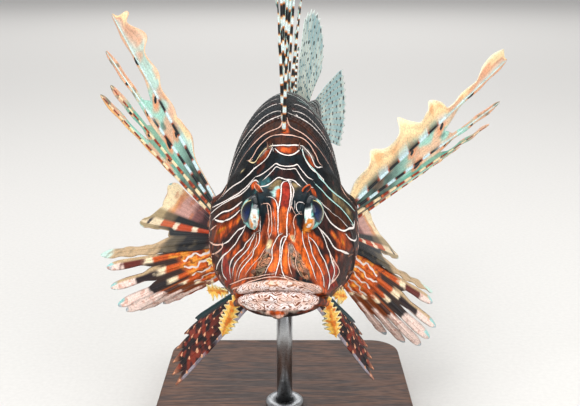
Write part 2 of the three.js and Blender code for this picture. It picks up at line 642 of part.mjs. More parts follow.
function finParts() {
  const near = join([bodyGrown, shoulder(1, GAP), shoulder(-1, GAP)]);
  const clear = (fin) => fin.subtract(near);
  const fins = [
    mesh("dorsal_spines", clear(dorsalSpines()), FIN),
    mesh("soft_dorsal_fin", clear(pleated(middleFin(SOFT_DORSAL), 6)), FIN),
    mesh("anal_fin", clear(pleated(middleFin(ANAL), 5)), FIN),
    mesh("tail_fin", clear(tailFin()), FIN),
    mesh("pelvic_fin_left", clear(pelvicFin(PELVIC.left)), FIN),
    mesh("pelvic_fin_right", clear(pelvicFin(PELVIC.right)), FIN),
  ];
  for (const [name, fin] of Object.entries(PECTORAL)) {
    for (const group of PECTORAL_GROUPS) {
      fins.push(mesh(`pectoral_fin_${name}_${group.part}`, clear(pectoralGroup(fin, group)), FIN));
    }
  }
  return fins;
}

// A soft frilled flap: a leaf from its root to its tip, with teeth along both its edges.
function leaf({ root, tip, across, width, teeth }) {
  const rows = 2 * teeth;
  const from = new THREE.Vector3(...root);
  const to = new THREE.Vector3(...tip);
  const sideways = new THREE.Vector3(...across).normalize();
  const halfLeaf = (s) => {
    const tooth = Math.round(s * rows) % 2 === 1 ? 1 : 0.62;
    return 0.5 * width * tooth * (0.3 + 0.7 * Math.sin(Math.PI * Math.min(1, 0.12 + 0.82 * s)));
  };
  const place = (s, t) => {
    const lag = (Math.round(s * rows) % 2) * 0.25 * Math.abs(t - 0.5);
    return new THREE.Vector3().lerpVectors(from, to, Math.min(1, s + lag / teeth))
      .addScaledVector(sideways, (2 * t - 1) * halfLeaf(s));
  };
  return sheet(rows, [0, 0.5, 1], place, (s, t) => (t === 0.5 ? 0.95 - 0.35 * s : 0.4));
}

// The flaps of each side: long ones at the corners of the mouth, round ones on the cheeks,
// small ones low on the gill covers and short ones over the eyes.
const FLAPS = {
  chin_flap_left: { root: [20, 24, -8], tip: [26, 31, -39], across: [1, 0.25, 0.1], width: 12, teeth: 5 },
  chin_flap_right: { root: [-20, 24, -8], tip: [-29, 31, -38], across: [1, -0.25, 0.1], width: 12, teeth: 5 },
  cheek_flap_left: { root: [24, 36, -17], tip: [31, 42, -23], across: [-0.5, 0, 1], width: 11, teeth: 3 },
  cheek_flap_right: { root: [-26, 36, -16], tip: [-37, 42, -19], across: [-0.3, 0, 1], width: 11, teeth: 3 },
  gill_flap_left: { root: [28.5, 70, -29], tip: [35, 76, -32], across: [0, 0.3, 1], width: 5.5, teeth: 2 },
  gill_flap_right: { root: [-32.5, 70, -22], tip: [-40.5, 75, -21], across: [0, 0.3, 1], width: 5.5, teeth: 2 },
  brow_flap_left: { root: [9, 41, 33], tip: [14.3, 44, 37.5], across: [0.3, 1, 0], width: 5, teeth: 2 },
  brow_flap_right: { root: [-9, 41, 33], tip: [-14, 44, 39], across: [-0.3, 1, 0], width: 5, teeth: 2 },
};

function flapParts() {
  const firm = join([bodyGrown, brow(1, GAP), brow(-1, GAP), lip(LIPS.upper, GAP), lip(LIPS.lower, GAP)]);
  return Object.entries(FLAPS).map(([name, shape]) => mesh(name, leaf(shape).subtract(firm), CREAM));
}

// Turns the head a little to the fish's right, more towards the snout.
function turnHead({ geometry }) {
  const at = geometry.attributes.position;
  for (let i = 0; i < at.count; i += 1) {
    const share = Math.max(0, 1 - at.getY(i) / HEAD_END);
    at.setX(i, at.getX(i) - HEAD_TURN * share * share);
  }
  geometry.computeVertexNormals();
}

const fish = new THREE.Group();
fish.add(...headParts(), ...bodyParts(), ...finParts(), ...flapParts());
fish.children.forEach(turnHead);
const pitch = THREE.MathUtils.degToRad(NOSE_DOWN);
fish.rotation.x = pitch;
fish.position.set(0, -PIVOT * Math.cos(pitch), PIVOT_HEIGHT - PIVOT * Math.sin(pitch));
fish.updateMatrix();

function standParts() {
  const outline = new THREE.Shape();
  const [x, y, r] = [STAND.width / 2, STAND.length / 2, STAND.round];
  outline.moveTo(-x + r, -y);
  outline.lineTo(x - r, -y);
  outline.absarc(x - r, -y + r, r, -Math.PI / 2, 0);
  outline.lineTo(x, y - r);
  outline.absarc(x - r, y - r, r, 0, Math.PI / 2);
  outline.lineTo(-x + r, y);
  outline.absarc(-x + r, y - r, r, Math.PI / 2, Math.PI);
  outline.lineTo(-x, -y + r);
  outline.absarc(-x + r, -y + r, r, Math.PI, 1.5 * Math.PI);
  const plate = { depth: STAND.thickness, bevelEnabled: false, curveSegments: 6 };
  const base = new THREE.ExtrudeGeometry(outline, plate);
  const rod = new THREE.CylinderGeometry(STAND.rod, STAND.rod, PIVOT_HEIGHT, 16);
  rod.rotateX(Math.PI / 2);
  rod.translate(0, 0, STAND.thickness + GAP + PIVOT_HEIGHT / 2);
  const skinAbove = bodyGrown.transform(fish.matrix.toArray());
  const upTo = solid(rod).subtract(skinAbove);
  const lowest = upTo.decompose().reduce((best, piece) =>
    piece.boundingBox().min[2] < best.boundingBox().min[2] ? piece : best,
  );
  const [inner, outer, low] = [STAND.rod + GAP, STAND.collar, STAND.thickness + GAP];
  const high = low + STAND.collarHeight;
  const chamfer = [[outer, high - 1.2], [outer - 1.2, high]];
  const ring = [[inner, low], [outer, low], ...chamfer, [inner, high], [inner, low]];
  const collar = new THREE.LatheGeometry(ring.map(([r, h]) => new THREE.Vector2(r, h)), 20);
  collar.rotateX(Math.PI / 2);
  return [
    mesh("stand_base", solid(base), WOOD),
    mesh("stand_collar", solid(collar), STEEL),
    mesh("stand_rod", lowest, STEEL),
  ];
}

const part = new THREE.Group();
part.add(fish, ...standParts());

export default part;
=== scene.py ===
"""A red lionfish, life size, on a plain display stand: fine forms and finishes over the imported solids.

Lengths are millimetres in the fish's own frame: +X is its left side, +Y runs from the snout to the tail and +Z is
up. `FishFrame.world` carries them to the part's frame, in metres.
"""

import logging
import math
from collections.abc import Callable, Iterator, Sequence
from dataclasses import dataclass, field
from enum import Enum

import bmesh
import bpy
import numpy as np
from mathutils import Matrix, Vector
from mathutils.kdtree import KDTree


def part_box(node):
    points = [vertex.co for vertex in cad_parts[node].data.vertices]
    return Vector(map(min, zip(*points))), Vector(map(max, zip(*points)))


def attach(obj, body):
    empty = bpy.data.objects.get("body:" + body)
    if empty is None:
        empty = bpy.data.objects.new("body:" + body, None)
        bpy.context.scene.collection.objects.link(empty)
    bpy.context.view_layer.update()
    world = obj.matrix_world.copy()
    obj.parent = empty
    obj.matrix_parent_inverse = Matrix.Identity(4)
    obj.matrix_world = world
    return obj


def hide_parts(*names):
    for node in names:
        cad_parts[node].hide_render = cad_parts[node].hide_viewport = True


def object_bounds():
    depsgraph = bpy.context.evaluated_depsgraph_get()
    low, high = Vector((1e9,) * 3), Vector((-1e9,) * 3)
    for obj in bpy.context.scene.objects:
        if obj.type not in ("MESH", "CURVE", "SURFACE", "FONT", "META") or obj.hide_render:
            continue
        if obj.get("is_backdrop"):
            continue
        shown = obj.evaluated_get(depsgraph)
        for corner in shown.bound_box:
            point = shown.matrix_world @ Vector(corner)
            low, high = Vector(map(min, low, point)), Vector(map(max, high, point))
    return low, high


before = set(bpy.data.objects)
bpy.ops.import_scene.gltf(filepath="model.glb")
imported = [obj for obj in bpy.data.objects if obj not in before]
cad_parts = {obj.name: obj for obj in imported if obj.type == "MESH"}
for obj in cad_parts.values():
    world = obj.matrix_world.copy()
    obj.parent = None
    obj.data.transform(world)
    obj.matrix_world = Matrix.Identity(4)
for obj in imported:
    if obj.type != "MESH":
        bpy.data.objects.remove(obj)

log = logging.getLogger("lionfish")
CAD_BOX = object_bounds()
MM = 0.001
BAKE_MAP = "OFBake"
SIDES = ((1, "left"), (-1, "right"))
# The numbers that a fin's vertices carry: the share along a ray, the place across the rays and 1 on a ray's own bar.
SPOT_NUMBERS = ("along", "fan", "bar")
# A distance in millimetres that stands for no mark near.
FAR = 5.0
NOISE_VALUES = 4096
NOISE_STRIDES = (73, 179, 283)

Array = np.ndarray
Place = Callable[[Array, Array], Array]
Socket = bpy.types.NodeSocket
AddNode = Callable[..., Socket]
Triple = tuple[float, float, float]
Pair = tuple[float, float]
# A round bar under the skin: its middle line, its radius and how soft its edge is.
Bar = tuple[Array, Array | float, float]


def unit(vectors: Array) -> Array:
    """The same directions at length one; the last axis holds x, y and z."""
    return vectors / np.maximum(np.linalg.norm(vectors, axis=-1, keepdims=True), 1e-9)


def smooth_step(value: Array, low: float, high: float) -> Array:
    """A soft rise from 0 at low to 1 at high."""
    share = np.clip((np.asarray(value, float) - low) / (high - low), 0, 1)
    return share * share * (3 - 2 * share)


def noise(points: Array, size: float, seed: int = 0) -> Array:
    """Smooth noise from -1 to 1, the same on every run.

    Args:
        points: Places as an (n, 3) array.
        size: The distance between the noise's lattice points, in the places' units.
        seed: Another seed gives another noise.

    Returns:
        One value for each place.
    """
    table = np.random.default_rng(seed).uniform(-1, 1, NOISE_VALUES)
    scaled = np.asarray(points, float) / size
    low = np.floor(scaled).astype(int)
    share = scaled - low
    share = share * share * (3 - 2 * share)
    total = np.zeros(len(scaled))
    for corner in range(8):
        step = np.array([corner & 1, corner >> 1 & 1, corner >> 2 & 1])
        index = (low + step) @ NOISE_STRIDES % NOISE_VALUES
        weight = np.prod(np.where(step, share, 1 - share), axis=1)
        total += weight * table[index]
    return total


class Profile:
    """A smooth line through pairs of place and value, flat beyond its ends."""

    def __init__(self, *pairs: Pair) -> None:
        """Works out the line's slope at each pair."""
        self.at, self.value = np.array(pairs, float).T
        steps = np.diff(self.value) / np.diff(self.at)
        before, after = steps[:-1], steps[1:]
        same_way = before * after > 0
        mean = 2 * before * after / np.where(same_way, before + after, 1)
        self.slope = np.concatenate([steps[:1], np.where(same_way, mean, 0), steps[-1:]])

    def __call__(self, place: Array | float) -> Array:
        """The value at each place."""
        x = np.clip(np.asarray(place, float), self.at[0], self.at[-1])
        i = np.clip(np.searchsorted(self.at, x, side="right") - 1, 0, len(self.at) - 2)
        width = self.at[i + 1] - self.at[i]
        t = (x - self.at[i]) / width
        rise = (3 - 2 * t) * t * t
        lift = width * t * (1 - t) * ((1 - t) * self.slope[i] - t * self.slope[i + 1])
        return self.value[i] + (self.value[i + 1] - self.value[i]) * rise + lift


def bow(values: Sequence[float], share: Array | float) -> Array:
    """A quadratic through three values at 0, a half and 1."""
    start, middle, end = values
    t = np.asarray(share, float)
    return start * (1 - t) * (1 - 2 * t) + 4 * middle * t * (1 - t) + end * t * (2 * t - 1)


def heading(side: int, sweep: float, rise: float) -> Array:
    """A direction from its sweep back from sideways and its rise, in degrees."""
    a, e = math.radians(sweep), math.radians(rise)
    return np.array([side * math.cos(a) * math.cos(e), math.sin(a) * math.cos(e), math.sin(e)])


@dataclass(frozen=True)
class FishFrame:
    """How the fish stands on its rod, and the bends of its head and tail."""

    nose_down: float = 12.0
    pivot: float = 110.0
    pivot_height: float = 140.0
    tail_tip: float = 315.0
    tail_swing: float = 46.0
    tail_droop: float = 34.0
    bend_start: float = 107.0
    head_end: float = 64.0
    head_turn: float = 2.0

    def bend(self, points: Array) -> Array:
        """Carries places of the straight fish to the tail's bend."""
        t = np.maximum(0, (points[..., 1] - self.bend_start) / (self.tail_tip - self.bend_start))
        shift = np.stack([self.tail_swing * t * t, np.zeros_like(t), -self.tail_droop * t * t], -1)
        return points + shift

    def world(self, points: Array) -> Array:
        """Places in the part's frame, in metres.

        Args:
            points: Places in the fish's frame, in millimetres, as an array whose last axis is x, y and z.

        Returns:
            An array of the same shape.
        """
        share = np.maximum(0, 1 - points[..., 1] / self.head_end)
        x = points[..., 0] - self.head_turn * share * share
        y, z = points[..., 1] - self.pivot, points[..., 2]
        a = math.radians(self.nose_down)
        turned = [x, y * math.cos(a) - z * math.sin(a), y * math.sin(a) + z * math.cos(a) + self.pivot_height]
        return np.stack(turned, -1) * MM


FISH = FishFrame()


class Body:
    """The bare body: its outline along its length, and places on its surface."""

    length = 246.0
    snout = -1.5
    back = Profile(
        (-1.5, 1), (0.5, 4.5), (3, 8), (8, 13), (15, 18), (24, 24), (36, 31.5), (50, 38.5), (66, 45),
        (82, 50.5), (100, 53), (120, 51.5), (145, 46), (175, 35), (205, 25), (228, 19.5), (246, 18.5),
    )
    keel = Profile(
        (-1.5, -0.5), (0.5, -4.5), (3, -7.6), (8, -11.4), (15, -15.8), (24, -21.4), (36, -27.6), (50, -34),
        (66, -39.5), (82, -42.5), (100, -43.5), (120, -41), (145, -34.5), (175, -22.5), (205, -11.5),
        (228, -8), (246, -8),
    )
    half_width = Profile(
        (-1.5, 3), (0.5, 8.6), (3, 12), (8, 15.7), (15, 18.8), (24, 22), (34, 26), (46, 31), (58, 35), (70, 38),
        (80, 38.5), (84, 37.5), (89, 33.5), (100, 30.5), (120, 29), (145, 25), (175, 17), (205, 9.5), (228, 6),
        (246, 4.5),
    )
    widest = Profile(
        (-1.5, 0), (8, -4), (20, -8), (50, -10), (75, -8), (92, -1), (120, 3), (160, 5), (246, 5),
    )
    full_above = Profile((-1.5, 2), (10, 1.8), (30, 1.5), (60, 1.6), (80, 1.8), (160, 1.8), (246, 2))
    full_below = Profile((-1.5, 2), (30, 2.1), (50, 2.05), (90, 2), (246, 2))
    waist_depth = 0.19

    def waist(self, y: Array, z: Array) -> Array:
        """The share of the half width that the nape keeps above the gill covers."""
        along = smooth_step(y, 34, 58) * (1 - smooth_step(y, 82, 100))
        return 1 - self.waist_depth * along * smooth_step(z, 3, 18)

    def surface(self, y: Array, turn: Array, out: Array | float = 0.0) -> Array:
        """Places on the straight body's surface.

        Args:
            y: Distances behind the snout.
            turn: Turns round the body, 0 on the left side and a quarter turn at the back.
            out: A distance out of the surface.

        Returns:
            Places before the tail's bend, with x, y and z on the last axis.
        """
        c, s = np.cos(turn), np.sin(turn)
        full = np.where(s > 0, self.full_above(y), self.full_below(y))
        middle = self.widest(y)
        half = np.where(s > 0, self.back(y) - middle, middle - self.keel(y)) + out
        z = middle + half * np.sign(s) * np.abs(s) ** (2 / full)
        x = (self.half_width(y) * self.waist(y, z) + out) * np.sign(c) * np.abs(c) ** (2 / full)
        return np.stack([x, y + 0 * x, z], -1)

    def flank(self, y: float, z: float) -> float:
        """The surface's half width at a distance behind the snout and a height."""
        above = z > self.widest(y)
        full = self.full_above(y) if above else self.full_below(y)
        half = self.back(y) - self.widest(y) if above else self.widest(y) - self.keel(y)
        share = min(1.0, abs(z - self.widest(y)) / half)
        return float(self.half_width(y) * self.waist(y, z) * (1 - share**full) ** (1 / full))


BODY = Body()


def linear(colour: str) -> tuple[float, float, float, float]:
    """Linear red, green and blue and an alpha of 1, from the six hexadecimal digits of an sRGB colour."""
    shares = [int(colour[i : i + 2], 16) / 255 for i in (0, 2, 4)]
    red, green, blue = (c / 12.92 if c <= 0.04045 else ((c + 0.055) / 1.055) ** 2.4 for c in shares)
    return red, green, blue, 1.0


def rgb(colour: str) -> Array:
    """The linear red, green and blue of a colour of six hexadecimal digits."""
    return np.array(linear(colour)[:3])


def blend(base: Array, colour: str | Array, share: Array) -> Array:
    """Colours mixed by a share for each place.

    Args:
        base: The colours below, as an (n, 3) array.
        colour: The colour laid over them, or one for each place.
        share: How much of it each place takes, from 0 to 1.

    Returns:
        The mixed colours.
    """
    over = rgb(colour) if isinstance(colour, str) else colour
    amount = np.clip(share, 0, 1)[:, None]
    return base * (1 - amount) + over * amount


def layered(base: Array, *layers: tuple[str | Array, Array]) -> Array:
    """Colours with others laid over them in turn, each with its share for each place."""
    for colour, share in layers:
        base = blend(base, colour, share)
    return base


def flood(colour: str, count: int) -> Array:
    """One colour for each of a number of places."""
    return np.tile(rgb(colour), (count, 1))


def clouds(points: Array, size: float, seed: int, low: float, high: float) -> Array:
    """Shares from 0 to 1 in soft clouds: where the noise of a size and seed rises from a low to a high limit."""
    return smooth_step(noise(points, size, seed), low, high)


def put(mesh: bpy.types.Mesh, name: str, values: Array) -> None:
    """Stores a number, or a linear red, green and blue, for each vertex under a name."""
    if values.ndim == 2:
        attribute = mesh.color_attributes.new(name, "FLOAT_COLOR", "POINT")
        whole = np.concatenate([values, np.ones((len(values), 1))], 1)
        attribute.data.foreach_set("color", whole.astype(np.float32).ravel())
    else:
        attribute = mesh.attributes.new(name, "FLOAT", "POINT")
        attribute.data.foreach_set("value", values.astype(np.float32))


def places(mesh: bpy.types.Mesh) -> Array:
    """The mesh's vertices as an (n, 3) array."""
    flat = np.zeros(len(mesh.vertices) * 3, np.float32)
    mesh.vertices.foreach_get("co", flat)
    return flat.reshape(-1, 3).astype(float)


def move(mesh: bpy.types.Mesh, points: Array) -> None:
    """Sets the mesh's vertices to an (n, 3) array of places."""
    mesh.vertices.foreach_set("co", points.astype(np.float32).ravel())
    mesh.update()


def flat_grid(name: str, columns: int, rows: int, half: float = 1.0) -> bpy.types.Mesh:
    """A flat grid as a mesh, with the map for baking.

    Args:
        name: The mesh's name.
        columns: Faces across.
        rows: Faces along.
        half: Half its side.

    Returns:
        The new mesh.
    """
    flat = bmesh.new()
    flat.loops.layers.uv.new(BAKE_MAP)
    bmesh.ops.create_grid(flat, x_segments=columns, y_segments=rows, size=half, calc_uvs=True)
    mesh = bpy.data.meshes.new(name)
    flat.to_mesh(mesh)
    flat.free()
    return mesh


class Sheets:
    """A mesh in the making, of grids that are bent to shape and carry the numbers that fin paint reads."""

    # A direction that no bar's path runs along.
    never_ahead = (0.31, 0.17, 0.93)

    def __init__(self) -> None:
        """Starts an empty mesh."""
        self.mesh = bmesh.new()
        self.layers = [self.mesh.verts.layers.float.new(name) for name in SPOT_NUMBERS]
        self.mesh.loops.layers.uv.new(BAKE_MAP)

    def grid(self, columns: int, rows: int, place: Place, fan: Callable[[Array], Array] | float = 0.0,
             bar: float = 0.0, tip: float = 1.0) -> None:
        """Adds a grid, bent to shape.

        Args:
            columns: Faces across.
            rows: Faces along.
            place: Gives the vertices' places from their shares across and along.
            fan: Their place across the rays, or what gives it from the share across.
            bar: Whether they lie on a ray's bar.
            tip: The share along a ray at the last row.
        """
        made = bmesh.ops.create_grid(self.mesh, x_segments=columns, y_segments=rows, size=1.0, calc_uvs=True)
        flat = np.array([v.co[:2] for v in made["verts"]])
        u, v = (flat[:, 0] + 1) / 2, (flat[:, 1] + 1) / 2
        across = (fan(u) if callable(fan) else fan) + 0 * u
        for vertex, point, *numbers in zip(made["verts"], place(u, v), v * tip, across, bar + 0 * u):
            vertex.co = point
            for layer, number in zip(self.layers, numbers):
                vertex[layer] = number

    def tube(self, path: Array, radius: Array, sides: int, fan: float = 0.0, tip: float = 1.0) -> None:
        """Adds a round bar along a path, closed at both its ends.

        Args:
            path: The middle line's places.
            radius: The bar's radius at each of them.
            sides: Faces round the bar.
            fan: The ray that it stands for.
            tip: The share along the ray at its end.
        """
        ahead = unit(np.gradient(path, axis=0))
        side = unit(np.cross(ahead, self.never_ahead))
        over = np.cross(side, ahead)
        last = len(path) - 1
        thick = np.concatenate([[0.0], radius, [0.0]])
        index = np.clip(np.arange(last + 3) - 1, 0, last)

        def place(u: Array, v: Array) -> Array:
            """A place on the bar: u goes round it and v along it."""
            row = np.rint(v * (last + 2)).astype(int)
            at = index[row]
            turn = u * 2 * math.pi
            ring = np.cos(turn)[:, None] * side[at] + np.sin(turn)[:, None] * over[at]
            return path[at] + ring * thick[row][:, None]

        self.grid(sides, last + 2, place, fan, 1.0, tip)

    def finish(self, name: str, weld: float = 0.001) -> bpy.types.Object:
        """Welds the grids and makes the object, with its places in metres.

        Args:
            name: The object's name.
            weld: Vertices nearer than this many millimetres become one.

        Returns:
            The new object, in the scene and riding on the part.
        """
        bmesh.ops.remove_doubles(self.mesh, verts=self.mesh.verts, dist=weld)
        bmesh.ops.dissolve_degenerate(self.mesh, edges=self.mesh.edges, dist=weld)
        bmesh.ops.recalc_face_normals(self.mesh, faces=self.mesh.faces)
        made = bpy.data.meshes.new(name)
        self.mesh.to_mesh(made)
        self.mesh.free()
        move(made, FISH.world(places(made)))
        return add(name, made)


def add(name: str, mesh: bpy.types.Mesh) -> bpy.types.Object:
    """Puts a mesh, already in place, in the scene as a smooth piece that rides on the part."""
    piece = bpy.data.objects.new(name, mesh)
    bpy.context.scene.collection.objects.link(piece)
    mesh.polygons.foreach_set("use_smooth", [True] * len(mesh.polygons))
    mesh.update()
    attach(piece, "root")
    return piece


def thicken(piece: bpy.types.Object, thickness: float) -> None:
    """Gives a sheet a thickness in millimetres, shared between both its faces."""
    wall = piece.modifiers.new("thickness", "SOLIDIFY")
    wall.thickness = thickness * MM
    wall.offset = 0


def dress(piece: bpy.types.Object, finish: "Finish", slot: str, *nodes: str) -> None:
    """Gives a piece its material, and hides the nodes that it stands for.

    Args:
        piece: The piece.
        finish: Its finish.
        slot: Not used.
        nodes: The nodes it replaces.
    """
    piece.data.materials.clear()
    piece.data.materials.append(finish.material())
    if nodes:
        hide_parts(*nodes)
    log.info("%s: %d vertices", piece.name, len(piece.data.vertices))


class Mixer:
    """A material's node tree, to which nodes are added with their settings and links."""

    def __init__(self, name: str) -> None:
        """Starts a material with only its output."""
        self.material = bpy.data.materials.new(name)
        self.material.use_nodes = True
        self.tree = self.material.node_tree
        self.tree.nodes.clear()
        self.output = self.tree.nodes.new("ShaderNodeOutputMaterial")

    def node(self, kind: str, give: str | int = 0, **settings: object) -> Socket:
        """Adds a node.

        Args:
            kind: The node's type, without its ShaderNode prefix.
            give: The output that is wanted, by its name or its place.
            settings: Its inputs, by name with spaces as underscores, as values or as sockets to link, or
                else its own properties.

        Returns:
            That output.
        """
        made = self.tree.nodes.new("ShaderNode" + kind)
        for name in [name for name in settings if hasattr(made, name)]:
            setattr(made, name, settings.pop(name))
        for name, value in settings.items():
            if name.startswith("input"):
                socket = made.inputs[int(name[5:])]
            else:
                socket = next(s for s in made.inputs if s.name == name.replace("_", " ") and s.enabled)
            if isinstance(value, Socket):
                self.tree.links.new(value, socket)
            else:
                socket.default_value = value
        return made.outputs[give]


@dataclass(frozen=True)
class Finish:
    """A finish, made into a material once."""

    name: str

    def material(self) -> bpy.types.Material:
        """The finish's material, made on first use."""
        found = bpy.data.materials.get(self.name)
        if found:
            return found
        mixer = Mixer(self.name)
        mixer.tree.links.new(self.shader(mixer.node), mixer.output.inputs["Surface"])
        return mixer.material

    def shader(self, node: AddNode) -> Socket:
        """Adds the finish's nodes and gives the shader's output."""
        raise NotImplementedError


@dataclass(frozen=True)
class Eye:
    """The place and size of the eyes."""

    x: float = 10.4
    y: float = 37.0
    z: float = 26.0
    radius: float = 8.5
    looks: Triple = (0.9, -0.4, 0.16)

    def centre(self, side: int) -> Array:
        """The middle of the eyeball."""
        return np.array([side * self.x, self.y, self.z])

    def axis(self, side: int) -> Array:
        """The direction that the pupil faces."""
        return unit(np.array([side * self.looks[0], self.looks[1], self.looks[2]]))


EYE = Eye()


@dataclass(frozen=True)
class Mouth:
    """The mouth's slanting line and the lips along it."""

    front: float = 1.5
    front_z: float = 6.8
    corner: float = 19.0
    corner_z: float = -8.4
    upper: Triple = (2.6, 2.4, 0.4)
    lower: Triple = (-3.0, 2.8, 0.2)

    def plane(self, y: Array) -> Array:
        """The height of the mouth's plane at a distance behind the snout."""
        slope = (self.corner_z - self.front_z) / (self.corner - self.front)
        return self.front_z + slope * (y - self.front)

    def lip(self, shape: Triple, count: int = 90) -> tuple[Array, Array]:
        """A lip's middle line and its radius at each of its places.

        Args:
            shape: The lip's height over the mouth's plane, its radius and how far out it lies.
            count: How many places.

        Returns:
            The places and the radii.
        """
        height, radius, outward = shape
        u = np.linspace(-1, 1, count)
        y = self.front + (self.corner - self.front) * np.abs(u) ** 2.2
        wide = (BODY.half_width(y) + outward) * np.sin(np.abs(u) ** 0.75 * math.pi / 2)
        line = np.stack([np.sign(u) * wide, y - outward * (1 - np.abs(u)), self.plane(y) + height], -1)
        share = (u + 1) / 2
        return line, radius * (0.5 + 0.5 * np.sin(math.pi * share) ** 0.6)


MOUTH = Mouth()


@dataclass(frozen=True)
class Shoulder:
    """The line that a pectoral fin's rays grow from, and the fleshy pad round it."""

    top: Triple = (33.0, 88.0, 2.0)
    fall: float = 39.0
    slant: float = 3.0
    narrow: float = 7.0
    widest: float = 0.3
    pad: float = 5.0

    def at(self, side: int, share: Array | float) -> Array:
        """The place of a share of the way down the line."""
        t = np.asarray(share, float)
        x = self.top[0] - self.narrow * np.maximum(0, (t - self.widest) / (1 - self.widest)) ** 1.4
        return np.stack([side * x, self.top[1] + self.slant * t, self.top[2] - self.fall * t], -1)


SHOULDER = Shoulder()


def to_line(points: Array, line: Array) -> tuple[Array, Array]:
    """Distances from places to a line of straight pieces.

    Args:
        points: The places, as an (n, 3) array.
        line: The line's corners, as an (m, 3) array.

    Returns:
        The distances, and for each place how far along the line its nearest part is, counted in corners.
    """
    if len(line) == 1:
        return np.linalg.norm(points - line, axis=1), np.zeros(len(points))
    start, step = line[:-1], np.diff(line, axis=0)
    length = np.maximum(np.sum(step * step, 1), 1e-12)
    best, along = np.full(len(points), np.inf), np.zeros(len(points))
    for low in range(0, len(points), 4000):
        part = points[low : low + 4000]
        offset = part[:, None] - start
        share = np.clip(np.sum(offset * step, 2) / length, 0, 1)
        away = np.linalg.norm(offset - share[..., None] * step, axis=2)
        pick = np.argmin(away, 1)
        row = np.arange(len(part))
        best[low : low + 4000] = away[row, pick]
        along[low : low + 4000] = pick + share[row, pick]
    return best, along


def on_line(line: Array, at: Array) -> Array:
    """Places on a line, counted in its corners."""
    corner = np.arange(len(line))
    return np.stack([np.interp(at, corner, line[:, k]) for k in range(line.shape[1])], -1)


def rounded(line: Array, weights: Array) -> Array:
    """A line whose bends are rounded off by a weighted mean of its places, with both its ends kept."""
    half = len(weights) // 2
    padded = np.pad(line, ((half, half), (0, 0)), mode="edge")
    soft = np.stack([np.convolve(padded[:, k], weights / weights.sum(), "valid") for k in range(3)], -1)
    return np.concatenate([line[:1], soft[1:-1], line[-1:]])


def near_line(points: Array, line: Array, reach: float) -> Array:
    """The indices of the places that may lie within a distance of a line."""
    low, high = line.min(0) - reach, line.max(0) + reach
    return np.nonzero(np.all((points > low) & (points < high), axis=1))[0]


def swell(points: Array, normals: Array, line: Array, radius: Array | float, soft: float) -> Array:
    """How far each place of a surface rises so that a round bar along a line shows through it.

    Args:
        points: The surface's places.
        normals: Its directions out.
        line: The bar's middle line.
        radius: Its radius, or one for each corner of the line.
        soft: How far the edge of the rise is rounded off.

    Returns:
        A height for each place, 0 away from the bar.
    """
    radii = np.broadcast_to(np.asarray(radius, float), (len(line),))
    height = np.zeros(len(points))
    chosen = near_line(points, line, 3 * float(radii.max()) + 3 * soft)
    away, along = to_line(points[chosen], line)
    lift = np.sum((points[chosen] - on_line(line, along)) * normals[chosen], axis=1)
    aside = np.sqrt(np.maximum(0, away * away - lift * lift))
    r = np.interp(along, np.arange(len(line)), radii)
    dome = np.sqrt(np.maximum(0, r * r - aside * aside)) - lift - np.maximum(0, aside - r) * 1.2
    rounded = (dome + np.sqrt(dome * dome + soft * soft)) / 2
    height[chosen] = rounded * np.clip(1 - (aside - r) / (2.5 * soft + 1), 0, 1)
    return height


def face(name: str, data: bpy.types.ID, place: Vector, target: Vector) -> bpy.types.Object:
    """Puts a camera or a light in the scene so that it faces a target, both places in metres."""
    made = bpy.data.objects.new(name, data)
    made.location = place
    made.rotation_euler = (target - place).to_track_quat("-Z", "Y").to_euler()
    bpy.context.scene.collection.objects.link(made)
    return made


@dataclass(frozen=True)
class Lamp:
    """A soft square light: its place, target and side in metres, and its power in watts."""

    name: str
    place: Triple
    target: Triple
    side: float
    power: float

    def build(self) -> None:
        """Hangs the light."""
        data = bpy.data.lights.new(self.name, "AREA")
        data.shape, data.size, data.energy = "SQUARE", self.side, self.power
        face(self.name, data, Vector(self.place), Vector(self.target))


